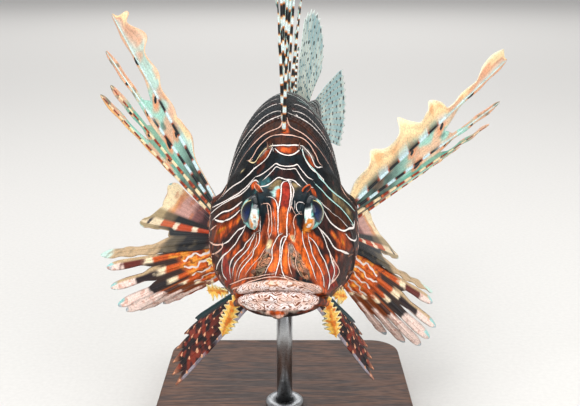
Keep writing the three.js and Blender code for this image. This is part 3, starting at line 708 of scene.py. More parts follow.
@dataclass(frozen=True)
class Studio:
    """The plain floor, the soft lights and the camera. The camera is in millimetres, all else in metres."""

    eye: Triple = (3.1, -461.0, 257.7)
    target: Triple = (3.1, -74.6, 154.2)
    lens: float = 54.4
    sensor: float = 36.0
    photo: Pair = (580.0, 406.0)
    floor: float = 26.0
    floor_drop: float = 0.0005
    lamps: tuple[Lamp, ...] = (
        Lamp("key light", (-0.7, -1.0, 1.5), (0.0, 0.0, 0.13), 0.8, 20),
        Lamp("fill light", (1.1, -0.9, 0.9), (0.0, 0.0, 0.13), 1.2, 12),
        Lamp("top light", (0.0, 0.3, 1.6), (0.0, 0.0, 0.13), 1.4, 10),
        Lamp("backdrop light", (0.0, 3.4, 2.2), (0.0, 3.7, 0.0), 3.0, 45),
    )
    air: str = "e8e8ea"
    air_strength: float = 0.6

    def pixels(self, points: Array) -> tuple[Array, Array]:
        """Where places in millimetres show in the photo, in pixels, and how far ahead of the camera they are."""
        eye = np.array(self.eye)
        ahead = unit(np.array(self.target) - eye)
        right = unit(np.cross(ahead, [0.0, 0.0, 1.0]))
        above = np.cross(right, ahead)
        offset = points - eye
        depth = offset @ ahead
        zoom = self.lens / self.sensor * self.photo[0]
        x = self.photo[0] / 2 + offset @ right / depth * zoom
        y = self.photo[1] / 2 - offset @ above / depth * zoom
        return np.stack([x, y], -1), depth

    def millimetres(self, depth: Array) -> Array:
        """The size of a pixel of the photo at a distance ahead of the camera."""
        return depth * self.sensor / self.lens / self.photo[0]

    def camera(self) -> None:
        """Makes the camera at the photo's place."""
        data = bpy.data.cameras.new("camera")
        data.lens, data.sensor_width = self.lens, self.sensor
        data.clip_start, data.clip_end = 0.02, 50.0
        bpy.context.scene.camera = face("camera", data, Vector(self.eye) * MM, Vector(self.target) * MM)

    def build(self) -> None:
        """Makes the studio."""
        self.camera()
        bpy.context.scene.view_settings.view_transform = "Standard"
        mesh = flat_grid("floor", 2, 2, self.floor / 2)
        floor = bpy.data.objects.new("floor", mesh)
        floor.location.z = -self.floor_drop
        bpy.context.scene.collection.objects.link(floor)
        mesh.materials.append(Grained("pale studio paper", "d8d6d2", "dedcd8", 3.0, 0.75).material())
        floor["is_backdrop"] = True
        for lamp in self.lamps:
            lamp.build()
        world = bpy.data.worlds.new("studio air")
        world.use_nodes = True
        air = world.node_tree.nodes["Background"].inputs
        air["Color"].default_value, air["Strength"].default_value = linear(self.air), self.air_strength
        bpy.context.scene.world = world


class Ink(Enum):
    """The colours of the skin's markings."""

    WHITE = "f4e9e2"
    TEAL_WHITE = "b4dfd8"
    PINK = "e9bca8"
    CREAM = "f2dca8"
    GREY = "8f8076"
    ORANGE = "d2581e"
    BRIGHT = "ea6a22"
    RED = "9c2a18"
    RUST = "8e3a18"
    BROWN = "43200f"
    MAROON = "36130e"
    OLIVE = "86714c"
    NIGHT = "041c24"
    TEAL = "2c6468"
    AMBER = "e08a28"
    PALE_ORANGE = "eeb088"


@dataclass(frozen=True)
class Window:
    """An enlarged part of the photo, in which marks were placed.

    The left and top are pixels of the photo, and the scale says how often the part was enlarged.
    """

    left: float
    top: float
    scale: float

    def pixels(self, points: Sequence[Pair]) -> Array:
        """The photo's pixels of places in the enlarged part."""
        return np.array(points, float) / self.scale + [self.left, self.top]


HEAD = Window(200, 150, 11)
BACK = Window(215, 80, 13)


@dataclass(frozen=True)
class Mark:
    """A painted stroke, seen in a window of the photo; its half width and softness are pixels of the photo."""

    window: Window
    ink: Ink
    half: float
    points: tuple[Pair, ...]
    soft: float = 0.0
    trail: float | None = None


def through(points: Array, spacing: float) -> Array:
    """Places on a smooth curve through points, a spacing apart in the points' own units."""
    if len(points) == 1:
        return points
    ends = np.concatenate([2 * points[:1] - points[1:2], points, 2 * points[-1:] - points[-2:-1]])
    pieces = []
    for i in range(len(points) - 1):
        a, b, c, d = ends[i : i + 4]
        count = max(2, int(np.linalg.norm(c - b) / spacing) + 1)
        t = np.linspace(0, 1, count, endpoint=False)[:, None]
        square, cube = 2 * a - 5 * b + 4 * c - d, 3 * b - a - 3 * c + d
        pieces.append(0.5 * (2 * b + (c - a) * t + square * t**2 + cube * t**3))
    return np.concatenate([*pieces, points[-1:]])


# The pattern's lines, in the photo's order.
LINES = (
    # The arcs of white across the back, from the rear forward.
    Mark(BACK, Ink.TEAL_WHITE, 0.35, ((860, 130), (770, 158), (700, 190)), trail=6),
    Mark(BACK, Ink.WHITE, 0.45, ((805, 253), (730, 275), (660, 310), (600, 350), (545, 410), (500, 470), (475, 520)),
        trail=6),
    Mark(BACK, Ink.TEAL_WHITE, 0.5, ((1085, 270), (1140, 290), (1200, 330), (1270, 380), (1330, 440), (1380, 520),
        (1420, 610)), trail=6),
    Mark(BACK, Ink.WHITE, 0.5, ((850, 310), (790, 320), (720, 345), (650, 385), (590, 430), (530, 490), (490, 560),
        (450, 640), (400, 730)), trail=6),
    Mark(BACK, Ink.WHITE, 0.55, ((1040, 320), (1110, 335), (1180, 375), (1240, 410), (1310, 480), (1370, 570),
        (1400, 680)), trail=6),
    Mark(BACK, Ink.WHITE, 0.55, ((840, 405), (780, 415), (710, 440), (650, 478), (590, 528), (530, 590), (480, 655),
        (440, 730), (400, 820)), trail=6),
    Mark(BACK, Ink.WHITE, 0.55, ((1030, 413), (1090, 422), (1150, 445), (1210, 490), (1270, 550), (1330, 620),
        (1370, 700), (1405, 790)), trail=6),
    Mark(BACK, Ink.WHITE, 0.6, ((890, 452), (860, 472), (800, 488), (740, 510), (670, 545), (600, 592), (540, 650),
        (495, 710), (450, 780), (395, 830)), trail=5),
    Mark(BACK, Ink.WHITE, 0.6, ((970, 440), (1020, 465), (1080, 490), (1150, 520), (1210, 560), (1270, 610),
        (1320, 665), (1370, 735), (1405, 800), (1440, 880), (1470, 980)), trail=5),
    Mark(BACK, Ink.PINK, 0.65, ((878, 510), (872, 570), (858, 618), (820, 640), (760, 650), (690, 675), (620, 715),
        (560, 770), (510, 830), (470, 910), (440, 970), (395, 1000)), trail=4),
    Mark(BACK, Ink.PINK, 0.65, ((938, 500), (948, 560), (968, 612), (1000, 638), (1060, 652), (1120, 680),
        (1190, 730), (1250, 790), (1300, 860), (1345, 950), (1380, 1020), (1440, 1060)), trail=4),
    Mark(BACK, Ink.PINK, 0.9, ((780, 718), (850, 708), (930, 714), (1000, 718), (1060, 735))),
    Mark(BACK, Ink.PINK, 0.55, ((780, 718), (720, 735), (660, 775), (600, 830), (550, 888), (510, 960), (470, 1025),
        (430, 1050))),
    Mark(BACK, Ink.PINK, 0.55, ((1060, 735), (1130, 755), (1190, 795), (1240, 850), (1280, 920), (1320, 990),
        (1345, 1065), (1375, 1100))),
    # The almond over the nape and the two beside it.
    Mark(BACK, Ink.WHITE, 0.85, ((745, 848), (800, 852), (860, 846), (940, 850), (1040, 846), (1135, 855))),
    Mark(BACK, Ink.WHITE, 0.65, ((785, 898), (830, 940), (880, 965), (950, 980), (1020, 965), (1070, 935),
        (1110, 890))),
    Mark(BACK, Ink.CREAM, 0.5, ((735, 852), (690, 872), (640, 910), (600, 952), (560, 1010), (530, 1060), (490, 1078),
        (440, 1055))),
    Mark(BACK, Ink.WHITE, 0.55, ((750, 870), (720, 930), (690, 990), (640, 1050), (590, 1092), (540, 1130),
        (500, 1165), (450, 1220), (400, 1262), (360, 1300))),
    Mark(BACK, Ink.WHITE, 0.6, ((1145, 865), (1190, 910), (1240, 970), (1270, 1040), (1300, 1110), (1340, 1140),
        (1380, 1130))),
    Mark(BACK, Ink.WHITE, 0.6, ((1140, 900), (1150, 970), (1180, 1040), (1220, 1110), (1270, 1170), (1330, 1210),
        (1380, 1262), (1420, 1300))),
    # The double crown across the nape.
    Mark(BACK, Ink.WHITE, 0.6, ((540, 1255), (600, 1230), (660, 1190), (720, 1142), (770, 1100), (795, 1080),
        (830, 1105), (900, 1120), (960, 1122), (1020, 1115), (1060, 1098), (1078, 1100), (1110, 1150), (1160, 1210),
        (1210, 1265), (1255, 1290))),
    Mark(BACK, Ink.WHITE, 0.5, ((640, 1290), (700, 1230), (750, 1180), (795, 1125), (850, 1150), (920, 1160),
        (1000, 1158), (1045, 1150), (1080, 1200), (1120, 1268), (1145, 1305))),
    Mark(HEAD, Ink.WHITE, 0.5, ((640, 352), (610, 330), (575, 350), (540, 395), (520, 420))),
    Mark(HEAD, Ink.WHITE, 0.5, ((1090, 260), (1120, 310), (1160, 360), (1200, 395), (1232, 412))),
    # The long sweeps over the left gill cover, on the photo's left.
    Mark(HEAD, Ink.WHITE, 0.45, ((640, 172), (600, 195), (560, 240), (510, 290), (450, 345), (380, 387), (320, 430),
        (270, 480), (255, 500))),
    Mark(HEAD, Ink.WHITE, 0.55, ((600, 305), (560, 350), (520, 395), (470, 440), (420, 480), (350, 520), (280, 560),
        (220, 590), (170, 615), (110, 650))),
    Mark(HEAD, Ink.WHITE, 0.5, ((545, 400), (480, 462), (430, 500), (360, 532), (290, 572), (230, 607), (170, 652),
        (120, 700))),
    Mark(HEAD, Ink.WHITE, 0.7, ((455, 572), (420, 600), (370, 640), (310, 670), (250, 682), (190, 725), (150, 760))),
    Mark(HEAD, Ink.WHITE, 0.75, ((440, 662), (390, 712), (330, 757), (290, 775), (230, 787), (170, 770))),
    Mark(HEAD, Ink.PINK, 0.5, ((175, 830), (130, 870), (100, 900))),
    Mark(HEAD, Ink.WHITE, 0.6, ((500, 830), (470, 858), (430, 872), (390, 912), (350, 960), (310, 1005),
        (262, 1030))),
    Mark(HEAD, Ink.WHITE, 0.6, ((500, 835), (470, 900), (430, 960), (390, 1030), (340, 1085), (310, 1120),
        (260, 1160), (220, 1210), (190, 1270), (175, 1315))),
    Mark(HEAD, Ink.PINK, 0.55, ((100, 1000), (130, 1030), (180, 1045), (240, 1040), (250, 1070), (210, 1110),
        (160, 1142), (110, 1150))),
    # The fan of lines over the left cheek.
    Mark(HEAD, Ink.WHITE, 0.6, ((585, 930), (550, 980), (500, 1030), (480, 1080), (430, 1120), (380, 1170),
        (340, 1230), (325, 1310), (335, 1390))),
    Mark(HEAD, Ink.WHITE, 0.55, ((600, 900), (592, 960), (562, 1010), (545, 1060), (500, 1120), (450, 1170),
        (400, 1230), (370, 1290), (360, 1360))),
    Mark(HEAD, Ink.PINK, 0.5, ((620, 940), (620, 1000), (600, 1060), (560, 1130), (520, 1180), (470, 1230),
        (430, 1290), (405, 1350), (395, 1410))),
    Mark(HEAD, Ink.WHITE, 0.6, ((655, 880), (655, 980), (630, 1050), (592, 1100), (580, 1160), (530, 1220),
        (480, 1280), (440, 1340), (425, 1400))),
    Mark(HEAD, Ink.PINK, 0.45, ((740, 1060), (700, 1110), (660, 1180), (600, 1240), (550, 1300), (500, 1370))),
    Mark(HEAD, Ink.WHITE, 0.5, ((255, 1180), (240, 1260), (250, 1360), (292, 1425))),
    # The stripes down the forehead and the snout.
    Mark(HEAD, Ink.WHITE, 0.65, ((660, 402), (700, 400), (745, 385), (800, 345), (850, 305), (880, 303), (930, 322),
        (990, 325), (1040, 337), (1080, 378), (1102, 392))),
    Mark(HEAD, Ink.WHITE, 0.6, ((965, 336), (920, 350), (893, 385), (893, 430), (888, 500), (878, 570), (862, 650),
        (856, 720), (860, 800), (855, 860), (862, 930))),
    Mark(HEAD, Ink.WHITE, 0.65, ((965, 336), (987, 370), (1000, 440), (1000, 520), (987, 600), (967, 680), (960, 760),
        (955, 820), (955, 900), (950, 960))),
    Mark(HEAD, Ink.WHITE, 0.4, ((988, 335), (1012, 400), (1032, 430), (1028, 490), (1012, 560), (998, 640))),
    Mark(HEAD, Ink.WHITE, 0.55, ((760, 515), (800, 525), (835, 560), (852, 620), (856, 700))),
    Mark(HEAD, Ink.PINK, 0.5, ((700, 590), (757, 590), (772, 640), (782, 700), (786, 760), (790, 830), (788, 900),
        (765, 950))),
    Mark(HEAD, Ink.PINK, 0.6, ((740, 610), (752, 690), (762, 760), (756, 830), (747, 900), (762, 970))),
    Mark(HEAD, Ink.PINK, 0.5, ((1110, 705), (1062, 710), (1036, 740), (1026, 800), (1040, 860), (1046, 920),
        (1030, 985))),
    Mark(HEAD, Ink.PINK, 0.45, ((1000, 610), (1030, 670), (1050, 706))),
    Mark(HEAD, Ink.WHITE, 0.5, ((1128, 580), (1090, 570), (1062, 590), (1060, 650), (1088, 692))),
    Mark(HEAD, Ink.WHITE, 0.5, ((660, 760), (655, 820), (660, 900))),
    # The wedge of lines above the mouth.
    Mark(HEAD, Ink.WHITE, 0.5, ((890, 925), (850, 960), (825, 1010), (800, 1060), (790, 1120), (795, 1190),
        (770, 1250), (740, 1300), (722, 1345))),
    Mark(HEAD, Ink.WHITE, 0.6, ((962, 940), (912, 960), (890, 1010), (880, 1080), (880, 1150), (870, 1230),
        (850, 1300), (830, 1380))),
    Mark(HEAD, Ink.WHITE, 0.6, ((955, 950), (930, 1000), (906, 1060), (900, 1130), (890, 1210), (896, 1290),
        (912, 1360), (940, 1412))),
    Mark(HEAD, Ink.PINK, 0.5, ((980, 1040), (975, 1120), (970, 1200), (985, 1290), (1012, 1375))),
    Mark(HEAD, Ink.PINK, 0.45, ((1012, 1030), (1040, 1090), (1060, 1160), (1050, 1230), (1065, 1300), (1100, 1370))),
    # The fan of lines over the right cheek.
    Mark(HEAD, Ink.WHITE, 0.6, ((1125, 900), (1130, 980), (1150, 1060), (1180, 1130), (1200, 1200), (1230, 1280),
        (1250, 1340), (1270, 1410))),
    Mark(HEAD, Ink.WHITE, 0.55, ((1190, 930), (1200, 1000), (1220, 1060), (1232, 1130), (1262, 1200), (1302, 1270),
        (1332, 1330), (1360, 1420), (1365, 1500))),
    Mark(HEAD, Ink.WHITE, 0.6, ((1205, 960), (1250, 1000), (1290, 1060), (1320, 1130), (1370, 1220), (1400, 1300),
        (1422, 1380), (1430, 1450), (1410, 1530))),
    Mark(HEAD, Ink.WHITE, 0.6, ((1310, 860), (1350, 930), (1380, 1000), (1400, 1070), (1430, 1130), (1442, 1200),
        (1470, 1280), (1480, 1350), (1450, 1440))),
    Mark(HEAD, Ink.WHITE, 0.75, ((1300, 850), (1360, 910), (1420, 980), (1460, 1050), (1500, 1090), (1560, 1112),
        (1632, 1142))),
    Mark(HEAD, Ink.PINK, 0.5, ((1430, 1130), (1480, 1230), (1520, 1290), (1532, 1350), (1490, 1420), (1440, 1470))),
    # The long sweeps over the right gill cover.
    Mark(HEAD, Ink.TEAL_WHITE, 0.6, ((1125, 0), (1140, 60), (1180, 130), (1230, 190), (1280, 240), (1310, 300),
        (1370, 360), (1430, 430), (1500, 490), (1570, 540), (1640, 600), (1695, 665))),
    Mark(HEAD, Ink.TEAL_WHITE, 0.5, ((1270, 375), (1340, 440), (1400, 510), (1480, 580), (1550, 640), (1610, 710),
        (1660, 780), (1690, 825))),
    Mark(HEAD, Ink.WHITE, 0.6, ((1335, 575), (1370, 620), (1430, 660), (1470, 710), (1520, 740), (1570, 790),
        (1612, 842))),
    Mark(HEAD, Ink.WHITE, 0.75, ((1365, 672), (1400, 740), (1440, 800), (1500, 850), (1560, 885), (1600, 886),
        (1640, 862), (1690, 855), (1698, 800))),
    Mark(HEAD, Ink.WHITE, 0.6, ((1610, 930), (1640, 970), (1690, 1000), (1716, 990), (1722, 960))),
    # The upper lip.
    Mark(HEAD, Ink.PINK, 0.55, ((360, 1530), (430, 1488), (520, 1456), (620, 1428), (700, 1406), (790, 1396),
        (870, 1398), (950, 1415), (1010, 1448), (1080, 1480), (1150, 1508), (1230, 1545), (1290, 1580))),
    Mark(HEAD, Ink.PINK, 0.4, ((330, 1480), (400, 1452), (480, 1420), (560, 1404), (640, 1392), (720, 1372),
        (820, 1362))),
    Mark(HEAD, Ink.PINK, 0.4, ((940, 1385), (1020, 1415), (1100, 1450), (1180, 1480), (1260, 1515), (1330, 1560))),
)

# Soft patches of colour, each laid over those before it.
PATCHES = (
    # The face's ground colours, broad ones first.
    Mark(HEAD, Ink.RUST, 14, ((880, 560), (880, 900), (860, 1250), (850, 1400)), 5),
    Mark(HEAD, Ink.ORANGE, 10, ((640, 1060), (520, 1250), (440, 1400)), 4),
    Mark(HEAD, Ink.ORANGE, 10, ((1120, 1060), (1240, 1250), (1320, 1400)), 4),
    Mark(HEAD, Ink.MAROON, 8, ((160, 900), (330, 840), (470, 900), (330, 1080), (200, 1200)), 3),
    Mark(HEAD, Ink.MAROON, 8, ((1360, 800), (1480, 920), (1620, 1060), (1560, 1220), (1400, 1020)), 3),
    Mark(HEAD, Ink.RED, 4, ((275, 1220), (290, 1330), (310, 1420)), 1.5),
    Mark(HEAD, Ink.RED, 4, ((1470, 1300), (1460, 1400), (1430, 1480)), 1.5),
    Mark(HEAD, Ink.BROWN, 3, ((200, 640), (300, 600), (430, 520)), 1.5),
    Mark(HEAD, Ink.RUST, 1.6, ((230, 740), (320, 715), (400, 660)), 1),
    Mark(HEAD, Ink.BROWN, 3, ((1380, 520), (1480, 640), (1600, 760)), 1.5),
    Mark(HEAD, Ink.OLIVE, 2.5, ((1480, 520), (1560, 600), (1630, 680)), 1.5),
    Mark(HEAD, Ink.BROWN, 3, ((1380, 600), (1480, 740), (1580, 840)), 1.5),
    # Orange blotches on the dark cheeks.
    Mark(HEAD, Ink.RUST, 5, ((160, 930), (230, 880), (330, 840)), 3),
    Mark(HEAD, Ink.ORANGE, 2.6, ((190, 925), (230, 900)), 1.5),
    Mark(HEAD, Ink.AMBER, 1.2, ((200, 905), (212, 900)), 0.8),
    Mark(HEAD, Ink.AMBER, 0.9, ((262, 860),), 0.7),
    Mark(HEAD, Ink.ORANGE, 1.6, ((330, 830),), 1),
    Mark(HEAD, Ink.ORANGE, 2, ((420, 762),), 1.5),
    Mark(HEAD, Ink.AMBER, 0.9, ((425, 765),), 0.7),
    Mark(HEAD, Ink.ORANGE, 2, ((505, 950),), 1.5),
    Mark(HEAD, Ink.RUST, 4, ((400, 1110), (360, 1130)), 2),
    Mark(HEAD, Ink.ORANGE, 2.2, ((395, 1105),), 1.2),
    Mark(HEAD, Ink.RUST, 5, ((1590, 990), (1550, 1060)), 3),
    Mark(HEAD, Ink.ORANGE, 2.4, ((1580, 1000), (1560, 1040)), 1.5),
    Mark(HEAD, Ink.AMBER, 1.0, ((1572, 1015),), 0.7),
    Mark(HEAD, Ink.ORANGE, 2.4, ((1270, 970), (1320, 1030)), 1.5),
    Mark(HEAD, Ink.ORANGE, 1.8, ((1470, 940), (1490, 960)), 1.2),
    Mark(HEAD, Ink.AMBER, 0.9, ((1480, 950),), 0.7),
    Mark(HEAD, Ink.ORANGE, 1.8, ((1400, 1190),), 1.2),
    Mark(HEAD, Ink.ORANGE, 1.5, ((1500, 1180), (1510, 1200)), 1.0),
    Mark(HEAD, Ink.ORANGE, 1.5, ((300, 1180),), 1.0),
    # The forehead, its stripes and the snout.
    Mark(HEAD, Ink.OLIVE, 4, ((790, 400), (840, 370)), 1),
    Mark(HEAD, Ink.OLIVE, 3.5, ((1050, 410), (1080, 440)), 1),
    Mark(HEAD, Ink.TEAL_WHITE, 2.2, ((850, 425), (810, 460), (785, 495)), 0.6),
    Mark(HEAD, Ink.MAROON, 4, ((900, 260), (985, 260)), 2),
    Mark(HEAD, Ink.ORANGE, 2.0, ((868, 440), (862, 520), (868, 560)), 0.8),
    Mark(HEAD, Ink.RED, 4.2, ((945, 395), (945, 520), (938, 600)), 1),
    Mark(HEAD, Ink.BRIGHT, 4.2, ((925, 680), (910, 760), (905, 880)), 1.5),
    Mark(HEAD, Ink.ORANGE, 2.4, ((820, 600), (825, 750), (825, 900)), 1),
    Mark(HEAD, Ink.ORANGE, 3, ((1005, 720), (1000, 850), (1000, 960)), 1),
    Mark(HEAD, Ink.RUST, 3, ((705, 720), (705, 850), (700, 1000)), 1),
    Mark(HEAD, Ink.BROWN, 1.8, ((722, 610), (722, 660)), 0.8),
    Mark(HEAD, Ink.BROWN, 1.8, ((1082, 600), (1086, 660)), 0.8),
    Mark(HEAD, Ink.BRIGHT, 3, ((660, 1040), (600, 1180)), 1.5),
    Mark(HEAD, Ink.GREY, 3.0, ((1010, 1060), (1025, 1160), (1050, 1260)), 1.5),
    Mark(HEAD, Ink.GREY, 2.6, ((750, 1100), (735, 1200), (690, 1290)), 1.5),
    Mark(HEAD, Ink.NIGHT, 1.0, ((915, 968), (895, 1030), (890, 1100)), 0.4),
    Mark(HEAD, Ink.BRIGHT, 3.2, ((930, 1120), (945, 1230), (955, 1330)), 1.5),
    Mark(HEAD, Ink.BRIGHT, 3.2, ((830, 1180), (800, 1300)), 1.5),
    Mark(HEAD, Ink.BRIGHT, 4, ((1120, 1080), (1150, 1180), (1180, 1270)), 2),
    Mark(HEAD, Ink.CREAM, 2.0, ((770, 1000), (750, 1060)), 1.2),
    Mark(HEAD, Ink.CREAM, 2.0, ((1025, 960), (1030, 1000)), 1.2),
    # The lips, the pad of the chin and the knob under it.
    Mark(HEAD, Ink.PALE_ORANGE, 4.5, ((430, 1545), (640, 1470), (840, 1450), (1060, 1500), (1280, 1570)), 1.5),
    Mark(HEAD, Ink.PINK, 8.5, ((470, 1640), (660, 1650), (860, 1660), (1060, 1660), (1240, 1650)), 1.5),
    Mark(HEAD, Ink.GREY, 2.2, ((640, 1765), (700, 1790)), 1.5),
    Mark(HEAD, Ink.GREY, 2.2, ((990, 1770), (1060, 1765)), 1.5),
    Mark(HEAD, Ink.PINK, 4.2, ((800, 1785), (890, 1790)), 1.2),
    Mark(HEAD, Ink.ORANGE, 1.3, ((790, 1780), (800, 1800)), 0.8),
    Mark(HEAD, Ink.ORANGE, 1.2, ((850, 1800), (855, 1780)), 0.8),
    Mark(HEAD, Ink.ORANGE, 1.2, ((905, 1785), (910, 1800)), 0.8),
    # The dark brows and the bright skin in front of the eyes.
    Mark(HEAD, Ink.NIGHT, 5, ((540, 500), (600, 450), (680, 500), (690, 580)), 1.5),
    Mark(HEAD, Ink.NIGHT, 5, ((1240, 440), (1170, 460), (1090, 520), (1090, 620)), 1.5),
    Mark(HEAD, Ink.NIGHT, 1.6, ((690, 620), (700, 720), (690, 820), (660, 880)), 0.8),
    Mark(HEAD, Ink.NIGHT, 1.6, ((1075, 640), (1085, 740), (1090, 820), (1120, 890)), 0.8),
    Mark(HEAD, Ink.TEAL, 2.5, ((730, 350), (680, 390), (640, 395)), 1.5),
    Mark(HEAD, Ink.AMBER, 1.3, ((1150, 890), (1200, 880), (1225, 830)), 0.8),
    Mark(HEAD, Ink.ORANGE, 2.4, ((590, 385),), 0.6),
    Mark(HEAD, Ink.ORANGE, 2.0, ((1245, 460),), 0.6),
    # Nostril pits: painted shade in their openings.
    Mark(HEAD, Ink.NIGHT, 1.6, ((610, 1340), (640, 1335)), 0.8),
    Mark(HEAD, Ink.TEAL, 1.6, ((1140, 1375), (1165, 1385)), 0.8),
    # The back: orange at the middle line and brown between the arcs.
    Mark(BACK, Ink.BROWN, 4, ((800, 560), (700, 600), (600, 680)), 3),
    Mark(BACK, Ink.BROWN, 4, ((1050, 570), (1150, 600), (1250, 680)), 3),
    Mark(BACK, Ink.BROWN, 2.2, ((720, 690), (820, 672), (930, 670), (1040, 680), (1130, 705)), 1.5),
    Mark(BACK, Ink.ORANGE, 2.2, ((912, 540), (915, 620), (918, 672)), 0.9),
    Mark(BACK, Ink.BROWN, 3.2, ((740, 795), (840, 778), (940, 780), (1040, 790), (1140, 810)), 1.5),
    Mark(BACK, Ink.RUST, 3.0, ((840, 900), (900, 908), (960, 912), (1040, 900)), 1.2),
    Mark(BACK, Ink.ORANGE, 1.6, ((900, 905), (960, 910)), 1.2),
    Mark(BACK, Ink.GREY, 1.7, ((700, 880), (650, 922), (600, 975)), 1),
    Mark(BACK, Ink.RUST, 2, ((690, 935), (640, 1000), (580, 1058)), 1),
    Mark(BACK, Ink.GREY, 1.7, ((1165, 895), (1210, 945), (1255, 1010)), 1),
    Mark(BACK, Ink.RUST, 2, ((1210, 1020), (1255, 1090)), 1),
    Mark(BACK, Ink.CREAM, 0.5, ((350, 1190), (368, 1170)), 0.4),
)

# Where the lips carry their maze, and where curls lie beside the snout.
PAD = Mark(HEAD, Ink.PINK, 10, ((490, 1625), (660, 1632), (860, 1640), (1060, 1640), (1220, 1635)))
LIP = Mark(HEAD, Ink.PINK, 3.2, ((430, 1550), (640, 1478), (840, 1458), (1060, 1508), (1280, 1575)))
MOTTLES = (
    Mark(HEAD, Ink.GREY, 4, ((715, 1190), (675, 1290), (625, 1345))),
    Mark(HEAD, Ink.GREY, 4, ((1060, 1180), (1105, 1280), (1165, 1360))),
)


class Canvas:
    """The finished skin as a ground for marks: places in millimetres of the part's frame."""

    # Pixels round a mark's pixel from which its place is taken, and how sharply nearer ones count for more.
    reach = 1.4
    blunt = 0.15
    # Millimetres behind the nearest place from which a place belongs to something further back.
    depth = 5.0
    # The least that a surface faces the camera: to be seen at all, to take a mark, and to widen one no more.
    grazing = 0.03
    edge = 0.17
    widest = 0.42
    # The least rise of the direction out where a mark with a trail still follows the photo.
    steep = 0.6
    # Pixels between a mark's places, and the weights that round off its bends.
    spacing = 0.8
    weights = np.array([1, 2, 3, 2, 1])

    def __init__(self, points: Array, normals: Array, studio: Studio) -> None:
        """Sorts the places that face the camera by their pixel.

        Args:
            points: The skin's places.
            normals: Its directions out.
            studio: The studio, for its camera.
        """
        self.points, self.normals = points, normals
        self.pixels, self.distance = studio.pixels(points)
        to_eye = unit(np.array(studio.eye) - points)
        self.facing = np.sum(to_eye * normals, 1)
        self.seen = np.nonzero(self.facing > self.grazing)[0]
        self.tree = KDTree(len(self.seen))
        for i, index in enumerate(self.seen):
            self.tree.insert((*self.pixels[index], 0.0), i)
        self.tree.balance()
        self.size = studio.millimetres(self.distance) / np.maximum(self.facing, self.widest)

    def lay(self, pixels: Array, lowest: float = -1.0) -> tuple[Array, Array]:
        """Lays a row of pixels on the skin.

        Args:
            pixels: The photo's pixels, as an (n, 2) array.
            lowest: Places whose direction out rises less than this are left out.

        Returns:
            The places in millimetres, and how many millimetres of skin a pixel covers at each.
        """
        laid, sizes = [], []
        for x, y in pixels:
            found = self.tree.find_range((x, y, 0.0), self.reach)
            if not found:
                continue
            index = self.seen[[i for _, i, _ in found]]
            away = np.array([d for _, _, d in found])
            near = self.distance[index]
            keep = near < near.min() + self.depth
            weight = 1 / (away[keep] + self.blunt) ** 2
            facing = np.average(self.facing[index[keep]], weights=weight)
            if facing < self.edge or np.average(self.normals[index[keep], 2], weights=weight) < lowest:
                continue
            laid.append(np.average(self.points[index[keep]], axis=0, weights=weight))
            sizes.append(np.average(self.size[index[keep]], weights=weight))
        return np.array(laid).reshape(-1, 3), np.array(sizes)

    def trace(self, mark: Mark, spacing: float) -> tuple[Array, Array]:
        """A mark's middle line on the skin, and its half width at each place, in millimetres."""
        lowest = -1.0 if mark.trail is None else self.steep
        laid, sizes = self.lay(through(mark.window.pixels(mark.points), self.spacing), lowest)
        if len(laid) > 4:
            laid = rounded(laid, self.weights)
        if len(laid) > 1:
            steps = np.concatenate([[0], np.cumsum(np.linalg.norm(np.diff(laid, axis=0), axis=1))])
            count = max(2, int(steps[-1] / spacing))
            even = np.linspace(0, steps[-1], count)
            laid = np.stack([np.interp(even, steps, laid[:, k]) for k in range(3)], -1)
            sizes = np.interp(even, steps, sizes)
        return laid, sizes * mark.half


@dataclass(frozen=True)
class CheekLines:
    """Pairs of pale lines over the gill covers, where the photo doesn't show them: back and down from the eye.

    All lengths are millimetres. Each pair starts further back and higher than the one before it.
    """

    pairs: int = 9
    start: float = 34.0
    start_step: float = 5.2
    height: float = -14.0
    height_step: float = 3.6
    run: float = 30.0
    run_step: float = -1.2
    fall: float = 20.0
    fall_step: float = 2.2
    apart: float = 2.4
    wave: float = 1.2
    waves: float = 9.0
    over_keel: float = 1.5

    def lines(self, first: int) -> Iterator[Array]:
        """Every second pair of lines from a first one, on both sides of the head."""
        t = np.linspace(0, 1, 50)
        for side, _ in SIDES:
            for pair in range(first, self.pairs, 2):
                for apart in (0.0, self.apart):
                    y = self.start + self.start_step * pair + apart + (self.run + self.run_step * pair) * t
                    drop = (self.fall + self.fall_step * pair) * t**1.3
                    z = self.height + self.height_step * pair - apart / 2 - drop
                    z = np.clip(z + self.wave * np.sin(self.waves * t + pair), BODY.keel(y) + self.over_keel, None)
                    x = [side * BODY.flank(*place) for place in zip(y, z)]
                    yield FISH.world(FISH.bend(np.stack([x, y, z], -1))) / MM


